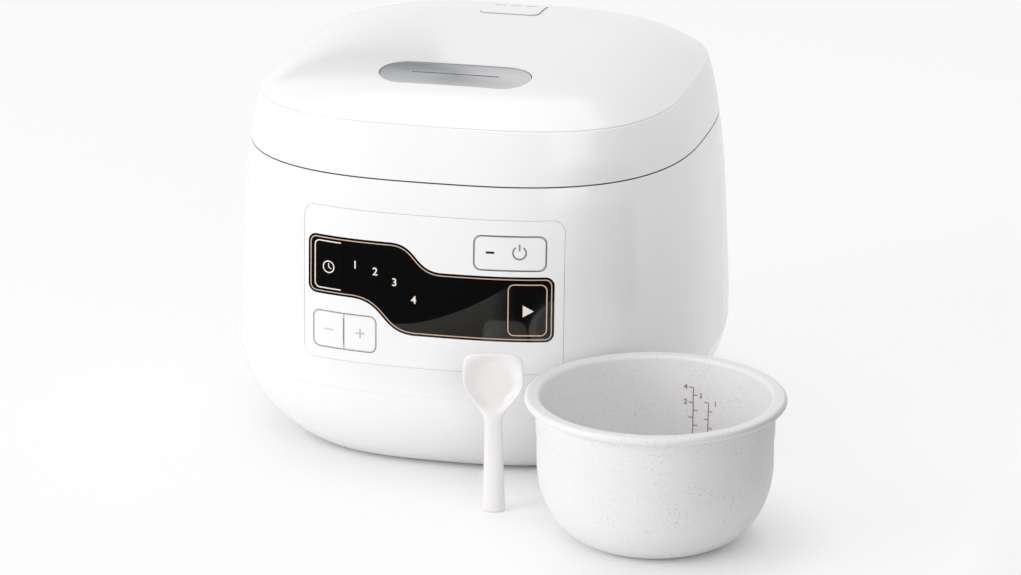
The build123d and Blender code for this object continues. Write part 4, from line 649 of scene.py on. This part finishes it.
panel_low, panel_high = [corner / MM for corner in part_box("control_fascia")]
panel = ray_target(PANEL_SOLIDS)
samples = []
for x in np.linspace(panel_low.x + 1, panel_high.x - 1, 41):
    for z in np.linspace(panel_low.z + 1, panel_high.z - 1, 25):
        hit = panel.ray_cast(Vector((x, panel_low.y - 20, z)) * MM, Vector((0, 1, 0)))[0]
        if hit:
            samples.append((x, z, hit.y / MM))
for _ in range(3):
    table = np.array([terms(x, z) for x, z, y in samples])
    depths = np.array([y for x, z, y in samples])
    curve, *_ = np.linalg.lstsq(table, depths, rcond=None)
    errors = np.abs(table @ curve - depths)
    samples = [sample for sample, error in zip(samples, errors) if error < max(0.1, 2 * np.median(errors))]
print("panel rays kept:", len(samples), "largest error in mm:", round(float(errors.max()), 3))


def panel_depth(x, z):
    """Y of the panel's surface, in millimetres."""
    return float(np.dot(terms(x, z), curve))


# %% [markdown]
# ## Printing on the panel
# Ink is a very thin raised ribbon or patch. A ribbon follows a path of (x, height) points; each point gets
# a left and a right edge, in front and behind, so that the ribbon is a closed thin solid.

# %% Ribbons and patches of ink
def polished_ink(name, colour, roughness=0.4, metallic=0.0):
    """Screen-printed ink with a faint grain."""
    material, tree, shader = principled(name, colour, roughness=roughness, metallic=metallic)
    grain = add_node(tree, "ShaderNodeTexNoise", {"Vector": millimetres(tree), "Scale": 3.0, "Detail": 2.0})
    relief(tree, shader, grain.outputs["Fac"], 0.01)
    return material


def arc(centre, radius, start, end, steps=8):
    """Points of an arc between two angles in degrees."""
    angles = np.radians(np.linspace(start, end, steps + 1))
    return [(centre[0] + radius * math.cos(angle), centre[1] + radius * math.sin(angle)) for angle in angles]


def rounded_path(left, right, low, high, radius):
    """A closed rounded rectangle, anticlockwise from the middle of its lower right corner."""
    corners = ((right, low, -90), (right, high, 0), (left, high, 90), (left, low, 180))
    path = []
    for x, z, start in corners:
        centre = (x - math.copysign(radius, x - (left + right) / 2),
                  z - math.copysign(radius, z - (low + high) / 2))
        path += arc(centre, radius, start, start + 90)
    return path


def denser(path, closed, step=2.0):
    """The same path with points no farther apart than step."""
    ends = path[1:] + path[:1] if closed else path[1:]
    points = []
    for (x0, z0), (x1, z1) in zip(path, ends):
        count = max(1, math.ceil(math.hypot(x1 - x0, z1 - z0) / step))
        points += [(x0 + (x1 - x0) * k / count, z0 + (z1 - z0) * k / count) for k in range(count)]
    return points if closed else points + [path[-1]]


def side_steps(path, closed):
    """Unit vectors across the path, to its left, at each point."""
    sides = []
    for index in range(len(path)):
        before = path[index - 1] if closed or index else path[0]
        after = path[(index + 1) % len(path)] if closed or index + 1 < len(path) else path[-1]
        along = (after[0] - before[0], after[1] - before[1])
        length = math.hypot(*along)
        sides.append((-along[1] / length, along[0] / length))
    return sides


def on_panel(x, z, lift):
    """A place on the panel, a little in front of it."""
    return (x, panel_depth(x, z) - lift, z)


def ribbon(name, path, width, body, material, closed=True, surface=on_panel):
    """A printed line of a width along a path."""
    path = denser(path, closed)
    sides = side_steps(path, closed)
    points = []
    for (x, z), (across, rise) in zip(path, sides):
        for side, lift in ((0.5, 1), (-0.5, 1), (-0.5, 0), (0.5, 0)):
            points.append(surface(x + across * width * side, z + rise * width * side,
                                  INK_LIFT + (lift - 0.5) * INK_THICKNESS))
    count = len(path)
    faces = []
    for index in range(count if closed else count - 1):
        here, there = 4 * index, 4 * ((index + 1) % count)
        faces += [(here + k, here + (k + 1) % 4, there + (k + 1) % 4, there + k) for k in range(4)]
    if not closed:
        faces += [(3, 2, 1, 0), tuple(4 * (count - 1) + k for k in range(4))]
    return new_piece(name, points, faces, body, material)


def patch(name, outline, body, material, surface=on_panel):
    """A filled convex shape, printed on a surface."""
    count = len(outline)
    points = [surface(x, z, INK_LIFT + (lift - 0.5) * INK_THICKNESS) for lift in (1, 0) for x, z in outline]
    sides = [(k, (k + 1) % count, count + (k + 1) % count, count + k) for k in range(count)]
    return new_piece(name, points, [tuple(range(count))[::-1], tuple(range(count, 2 * count)), *sides],
                     body, material)


def numeral(name, text, centre, height, body, material, surface=on_panel):
    """A printed number: letter outlines from the built-in font, laid on a surface."""
    curve_data = bpy.data.curves.new(name + " curve", "FONT")
    curve_data.body = text
    curve_data.size = height / 0.7
    curve_data.offset = height * 0.02
    curve_data.extrude = INK_THICKNESS / 2
    curve_data.align_x, curve_data.align_y = "CENTER", "CENTER"
    holder = bpy.data.objects.new(name + " curve", curve_data)
    mesh = bpy.data.meshes.new_from_object(holder)
    points = [surface(centre[0] + v.co.x, centre[1] + v.co.y, INK_LIFT + v.co.z) for v in mesh.vertices]
    faces = [tuple(face.vertices) for face in mesh.polygons]
    bpy.data.objects.remove(holder)
    bpy.data.curves.remove(curve_data)
    return new_piece(name, points, faces, body, material)


rose_gold = polished_ink("rose-gold foil ink", "#E2C4AC", 0.35, 0.25)
cream_ink = polished_ink("cream ink", "#F3E6D8")
beige_ink = polished_ink("beige ink", "#D6C3B4")
taupe_ink = polished_ink("taupe ink", "#8F7C74")
black_ink = polished_ink("black ink", "#171717")
print("inks:", [name for name in bpy.data.materials.keys() if name.endswith("ink")])

# %% [markdown]
# ## The dark window's lines
# A thin rose-gold line runs inside the window's edge all the way round, so its path is the edge of the
# window's own front face, moved inwards. A bracket marks the preset key, and a closed frame marks the
# function key.

# %% Edge of the window's front face
def front_edge(name):
    """The longest closed edge of a solid's front face, as (x, height) points in millimetres."""
    mesh = nodes[name].data
    place = {v.index: (round(v.co.x / MM, 2), round(v.co.z / MM, 2)) for v in mesh.vertices}
    uses = {}
    for face in mesh.polygons:
        if face.normal.y < -0.5:
            ring = [place[index] for index in face.vertices]
            for pair in zip(ring, ring[1:] + ring[:1]):
                uses[pair] = uses.get(pair, 0) + 1
    follow = {a: b for (a, b) in uses if (b, a) not in uses and a != b}
    loops = []
    while follow:
        loop = [next(iter(follow))]
        while loop[-1] in follow:
            loop.append(follow.pop(loop[-1]))
        loops.append(loop[:-1])
    return max(loops, key=lambda loop: sum(math.dist(a, b) for a, b in zip(loop, loop[1:])))


def evenly(path, step=1.0):
    """A closed path walked in equal steps."""
    ring = path + path[:1]
    lengths = np.cumsum([0] + [math.dist(a, b) for a, b in zip(ring, ring[1:])])
    places = np.linspace(0, lengths[-1], round(lengths[-1] / step), endpoint=False)
    across = np.interp(places, lengths, [point[0] for point in ring])
    return list(zip(across, np.interp(places, lengths, [point[1] for point in ring])))


def moved_in(path, inset):
    """A closed path moved towards its inside."""
    area = sum(a[0] * b[1] - b[0] * a[1] for a, b in zip(path, path[1:] + path[:1]))
    inset = math.copysign(inset, area)
    return [(x + side[0] * inset, z + side[1] * inset) for (x, z), side in zip(path, side_steps(path, True))]


window_edge = evenly(front_edge("display_window"))
print("window edge: points", len(window_edge))

# %% Lines of the dark window
preset_low, preset_high = [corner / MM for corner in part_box("preset_key")]
function_low, function_high = [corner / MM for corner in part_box("function_key")]
FLANGE_WIDE = 1.3            # how far a key's hidden flange reaches past its cap
WINDOW_LINE = 0.5
WINDOW_INSET = 1.35          # from the window's edge to the line
BRACKET_INSET = 0.3          # from the preset key's edge to its bracket
BRACKET_REACH = 14.5
BRACKET_BEND, BRACKET_LINE = 2.6, 0.6
BRACKET_OVERHANG = 0.35      # above and below the preset key
FRAME_INSET = FLANGE_WIDE + 0.45
FRAME_BEND, FRAME_LINE = 3.0, 0.55
ribbon("window_line", moved_in(window_edge, WINDOW_INSET), WINDOW_LINE, "cooker", rose_gold)
edge = preset_low.x + FLANGE_WIDE + BRACKET_INSET
top = preset_high.z - FLANGE_WIDE + BRACKET_OVERHANG
foot = preset_low.z + FLANGE_WIDE - BRACKET_OVERHANG
bracket = [(edge + BRACKET_REACH, top)]
bracket += arc((edge + BRACKET_BEND, top - BRACKET_BEND), BRACKET_BEND, 90, 180)
bracket += arc((edge + BRACKET_BEND, foot + BRACKET_BEND), BRACKET_BEND, 180, 270)
bracket += [(edge + BRACKET_REACH, foot)]
ribbon("preset_bracket", bracket, BRACKET_LINE, "cooker", cream_ink, closed=False)
function_frame = rounded_path(function_low.x + FRAME_INSET, function_high.x - FRAME_INSET,
                              function_low.z + FRAME_INSET, function_high.z - FRAME_INSET, FRAME_BEND)
ribbon("function_frame", function_frame, FRAME_LINE, "function_button", rose_gold)
print("window lines done")

# %% [markdown]
# ## Symbols
# Words give way to plain signs that anyone can read: a clock for the timer, a triangle for start, plus and
# minus for the time, a power sign and a lamp for keeping warm, and numbers for the four programmes.

# %% Symbols of the dark window
CLOCK_RADIUS, CLOCK_LINE, HAND_LINE = 3.0, 0.6, 0.55
HANDS = ((0.0, 1.9), (0.0, 0.0), (1.5, -0.9))            # steps from the clock's middle
TRIANGLE = ((3.2, 0.0), (-2.2, 3.1), (-2.2, -3.1))       # steps from the key's middle
PROGRAMMES = ((-39.3, 114.8), (-28.5, 112.4), (-18.2, 107.7), (-8.0, 99.3))
PROGRAMME_TALL = 4.0


def shifted(centre, *steps):
    """Places at some steps from a centre."""
    return [(centre[0] + across, centre[1] + up) for across, up in steps]


clock = ((preset_low.x + preset_high.x) / 2, (preset_low.z + preset_high.z) / 2 - 1)
ribbon("preset_clock", arc(clock, CLOCK_RADIUS, 0, 360, 24)[:-1], CLOCK_LINE, "preset_button",
       cream_ink)
ribbon("preset_clock_hands", shifted(clock, *HANDS), HAND_LINE, "preset_button", cream_ink,
       closed=False)
start = ((function_low.x + function_high.x) / 2, (function_low.z + function_high.z) / 2 - 0.5)
patch("start_triangle", shifted(start, *TRIANGLE), "function_button", cream_ink)
for count, place in enumerate(PROGRAMMES, 1):
    numeral(f"programme_{count}", str(count), place, PROGRAMME_TALL, "cooker", cream_ink)
print("programmes:", len(PROGRAMMES))

# %% Symbols of the white keys
hour_low, hour_high = [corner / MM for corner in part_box("hour_key")]
minute_low, minute_high = [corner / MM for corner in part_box("minute_key")]
warm_low, warm_high = [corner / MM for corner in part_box("keep_warm_key")]
EDGE = 0.25                  # from the cap's edge to the middle of its printed line
HAIRLINE = 0.4
FLANGE_NARROW = 0.1          # the hidden flange of the two keys of a pair
MEETING = 0.2                # from a pair's meeting edge to the ends of its frames
KEY_RADIUS, WARM_RADIUS = 3.2, 3.6
DIVIDER_END = 2.4            # from the frames to the ends of the line between the keys
ARM, SIGN_LINE = 2.4, 0.7    # half a sign's length, and its line
LAMP_HALF, LAMP_LINE = 2.1, 1.1
POWER_RADIUS = 3.3
POWER_OPEN, POWER_CLOSE = 125, 415   # degrees between which the power sign's ring runs


def half_frame(outer, inner, low, high):
    """Three sides of a rounded frame, open towards inner."""
    turn = math.copysign(1, inner - outer)
    middle = outer + turn * KEY_RADIUS
    first, last = (180, 270) if turn > 0 else (0, -90)
    upper = arc((middle, high - KEY_RADIUS), KEY_RADIUS, 90, 90 + turn * 90)
    lower = arc((middle, low + KEY_RADIUS), KEY_RADIUS, first, last)
    return [(inner, high)] + upper + lower + [(inner, low)]


def key_line(name, path, width, body, ink):
    """An open printed line on a white key."""
    return ribbon(name, path, width, body, ink, closed=False)


pair_low, pair_high = hour_low.z + FLANGE_NARROW + EDGE, hour_high.z - FLANGE_NARROW - EDGE
hour_frame = half_frame(hour_low.x + FLANGE_NARROW + EDGE, hour_high.x - FLANGE_NARROW - MEETING, pair_low,
                        pair_high)
minute_frame = half_frame(minute_high.x - FLANGE_NARROW - EDGE, minute_low.x + FLANGE_NARROW + MEETING,
                          pair_low, pair_high)
key_line("hour_frame", hour_frame, HAIRLINE, "hour_button", beige_ink)
key_line("minute_frame", minute_frame, HAIRLINE, "minute_button", beige_ink)
divider = hour_high.x - FLANGE_NARROW - EDGE
key_line("hour_divider", [(divider, pair_low + DIVIDER_END), (divider, pair_high - DIVIDER_END)], HAIRLINE,
         "hour_button", beige_ink)
hour_centre = ((hour_low.x + hour_high.x) / 2, (hour_low.z + hour_high.z) / 2)
minute_centre = ((minute_low.x + minute_high.x) / 2, hour_centre[1])
key_line("minus_sign", shifted(hour_centre, (-ARM, 0), (ARM, 0)), SIGN_LINE, "hour_button", beige_ink)
key_line("plus_sign_bar", shifted(minute_centre, (-ARM, 0), (ARM, 0)), SIGN_LINE, "minute_button", beige_ink)
for name, side in (("plus_sign_top", 1), ("plus_sign_foot", -1)):
    upright = shifted(minute_centre, (0, side * (SIGN_LINE / 2 + 0.01)), (0, side * ARM))
    key_line(name, upright, SIGN_LINE, "minute_button", beige_ink)

warm_frame = rounded_path(warm_low.x + FLANGE_WIDE + EDGE, warm_high.x - FLANGE_WIDE - EDGE,
                          warm_low.z + FLANGE_WIDE + EDGE, warm_high.z - FLANGE_WIDE - EDGE, WARM_RADIUS)
ribbon("keep_warm_frame", warm_frame, HAIRLINE, "keep_warm_button", taupe_ink)
lamp = (warm_low.x + FLANGE_WIDE + 8.3, (warm_low.z + warm_high.z) / 2 + 0.3)
key_line("keep_warm_lamp", shifted(lamp, (-LAMP_HALF, 0), (LAMP_HALF, 0)), LAMP_LINE, "keep_warm_button",
         black_ink)
power = (warm_high.x - FLANGE_WIDE - 13.2, lamp[1] + 0.2)
power_arc = arc(power, POWER_RADIUS, POWER_OPEN, POWER_CLOSE, 20)
key_line("power_ring", power_arc, SIGN_LINE, "keep_warm_button", taupe_ink)
key_line("power_bar", shifted(power, (0, 1.0), (0, 4.4)), SIGN_LINE, "keep_warm_button", taupe_ink)

# %% [markdown]
# ## The pot's scale
# A rice pot carries a water scale inside. Two printed columns with ticks and plain numbers stand on the
# inner wall, on the side away from the viewer, so that they can be read while it is filled.

# %% Scale inside the pot
pot_low, pot_high = [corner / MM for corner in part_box("inner_pot")]
pot_axis = ((pot_low.x + pot_high.x) / 2, (pot_low.y + pot_high.y) / 2)
pot = ray_target(["inner_pot"])
SCALE_ANGLE = 78.0           # middle of the scale, degrees round the pot from +X
SCALE_RADIUS = 57.0          # inner wall, to turn millimetres round it into an angle


def on_pot_wall(across, height, lift):
    """A place on the pot's inner wall: across is measured round it, to the right as seen from inside."""
    angle = math.radians(SCALE_ANGLE) - across / SCALE_RADIUS
    out = Vector((math.cos(angle), math.sin(angle), 0))
    centre = Vector((*pot_axis, height))
    radius = (pot.ray_cast(centre * MM, out)[0] / MM - centre).length
    return tuple(centre + out * (radius - lift - 0.05))


SCALE_LINE = 0.45
TICK_FROM, TICK_TO = 0.25, 2.4   # ends of a tick, from its column's middle
SCALE_FOOT = 34.0
NUMBER_TALL = 2.6
# name, place across, height of the top, distance between ticks, number of ticks
COLUMNS = (("water", -4.2, 58.5, 4.0, 6), ("half", 4.2, 51.5, 4.5, 4))


def wall_line(name, path):
    """A printed line on the pot's inner wall."""
    return ribbon(name, path, SCALE_LINE, "pot", taupe_ink, closed=False, surface=on_pot_wall)


for name, column, height, pitch, ticks in COLUMNS:
    wall_line(f"scale_{name}_column", [(column, SCALE_FOOT), (column, height)])
    for count in range(ticks):
        side = -1 if count % 2 == 0 else 1
        tick = height - pitch * count
        ends = [(column + side * TICK_FROM, tick), (column + side * TICK_TO, tick)]
        wall_line(f"scale_{name}_tick_{count}", ends)
for text, across, height in (("4", -8.3, 58.5), ("3", -0.2, 54.5), ("2", -8.3, 50.5), ("1", 8.3, 51.5)):
    numeral(f"scale_number_{text}", text, (across, height), NUMBER_TALL, "pot", taupe_ink,
            surface=on_pot_wall)
print("pot axis in mm:", [round(c, 1) for c in pot_axis])

# %% [markdown]
# ## Floor, backdrop and light
# White goods on white need soft shading to stand out. The world is plain white where it is seen directly or
# in a reflection, and dimmer as a source of light. One big soft box comes from the left, a smaller one from
# the right. Cards give glossy faces something grey to reflect, and a flag keeps light off the pot's right
# side.

# %% Floor
FLOOR_GLOW = 0.72            # share of plain white that direct views of the open floor get
CONTACT_MM = 45.0            # nearer than this to the object, the glow gives way to the real shadow


def seen_directly(tree):
    """1 for rays from the camera, a reflection or a clear material, 0 for rays that carry light."""
    path = add_node(tree, "ShaderNodeLightPath").outputs
    direct = add_node(tree, "ShaderNodeMath", {0: path["Is Camera Ray"], 1: path["Is Glossy Ray"]},
                      operation="MAXIMUM")
    return add_node(tree, "ShaderNodeMath", {0: direct.outputs[0], 1: path["Is Transmission Ray"]},
                    operation="MAXIMUM").outputs[0]


def white_floor(name):
    """Matt white that glows where it is seen directly, except close to the object, where its shadow stays."""
    material = bpy.data.materials.new(name)
    material.use_nodes = True
    tree = material.node_tree
    tree.nodes.clear()
    matt = add_node(tree, "ShaderNodeBsdfDiffuse", {"Color": linear("#FDFDFD")})
    glow = add_node(tree, "ShaderNodeEmission", {"Color": (1, 1, 1, 1), "Strength": 1.0})
    near = add_node(tree, "ShaderNodeAmbientOcclusion", {"Distance": CONTACT_MM * MM}, samples=12)
    away = add_node(tree, "ShaderNodeMath", {0: near.outputs["AO"], 1: FLOOR_GLOW}, operation="MULTIPLY")
    share = add_node(tree, "ShaderNodeMath", {0: seen_directly(tree), 1: away.outputs[0]},
                     operation="MULTIPLY")
    both = add_node(tree, "ShaderNodeMixShader", {
        0: share.outputs[0], 1: matt.outputs[0], 2: glow.outputs[0],
    })
    add_node(tree, "ShaderNodeOutputMaterial", {"Surface": both.outputs[0]})
    return material


def sheet(name, corner, along, up, material):
    """A flat four-sided piece of the studio, from one corner and two sides."""
    corner, along, up = Vector(corner), Vector(along), Vector(up)
    mesh = bpy.data.meshes.new(name)
    mesh.from_pydata([corner, corner + along, corner + along + up, corner + up], [], [(0, 1, 2, 3)])
    mesh.materials.append(material)
    piece = bpy.data.objects.new(name, mesh)
    bpy.context.scene.collection.objects.link(piece)
    return piece


FLOOR_SIZE = 6.0
half = FLOOR_SIZE / 2
sheet("floor", (-half, -half, 0), (FLOOR_SIZE, 0, 0), (0, FLOOR_SIZE, 0), white_floor("matt white floor"))
print("floor in metres:", FLOOR_SIZE)

# %% World
WORLD_LIGHT = 0.52
world = bpy.data.worlds.new("studio")
bpy.context.scene.world = world
world.use_nodes = True
world.node_tree.nodes.clear()
strength = add_node(world.node_tree, "ShaderNodeMapRange", {
    "Value": seen_directly(world.node_tree), "To Min": WORLD_LIGHT, "To Max": 1.0,
})
sky = add_node(world.node_tree, "ShaderNodeBackground", {
    "Color": (1, 1, 1, 1), "Strength": strength.outputs["Result"],
})
add_node(world.node_tree, "ShaderNodeOutputWorld", {"Surface": sky.outputs[0]})
print("world light:", WORLD_LIGHT)

# %% Lights
def soft_box(name, place, size, power, target=(0.02, -0.03, 0.08)):
    """A rectangular lamp of a size in metres and a power in watts, turned to the object."""
    lamp_data = bpy.data.lights.new(name, "AREA")
    lamp_data.shape = "RECTANGLE"
    lamp_data.size, lamp_data.size_y = size
    lamp_data.energy = power
    box = bpy.data.objects.new(name, lamp_data)
    bpy.context.scene.collection.objects.link(box)
    box.location = place
    box.rotation_euler = (Vector(place) - Vector(target)).to_track_quat("Z", "Y").to_euler()
    return box


soft_box("key soft box", (-2.1, -1.7, 1.0), (1.6, 1.6), 34)
soft_box("top soft box", (-0.2, 0.3, 1.9), (1.6, 1.4), 10)
soft_box("fill soft box", (1.3, -1.9, 0.7), (1.2, 1.2), 9)
bpy.context.scene.view_settings.view_transform = "Standard"


def studio_card(name, corner, along, up, shade, blocks_light=False):
    """A matt card that reflections see, to darken part of a glossy surface; a flag also blocks light."""
    material = bpy.data.materials.new(name)
    material.use_nodes = True
    material.node_tree.nodes.clear()
    glow = add_node(material.node_tree, "ShaderNodeEmission", {"Color": linear(shade), "Strength": 1.0})
    add_node(material.node_tree, "ShaderNodeOutputMaterial", {"Surface": glow.outputs[0]})
    card = sheet(name, corner, along, up, material)
    for kind in ("camera", "transmission", "volume_scatter"):
        setattr(card, "visible_" + kind, False)
    card.visible_diffuse = card.visible_shadow = blocks_light


studio_card("flag beside the pot", (0.28, -0.38, 0.045), (0, 0.28, 0), (0, 0, 0.095), "#101010",
            blocks_light=True)
studio_card("card before the window", (-1.2, -1.6, 0.002), (1.7, 0, 0), (0, 1.34, 0), "#1C1C1C")
studio_card("card above the lid", (-0.28, 0.2, 0.27), (0.2, 0, 0), (0, 0.1, 0.22), "#868688")
print("lights:", len(bpy.data.lights))
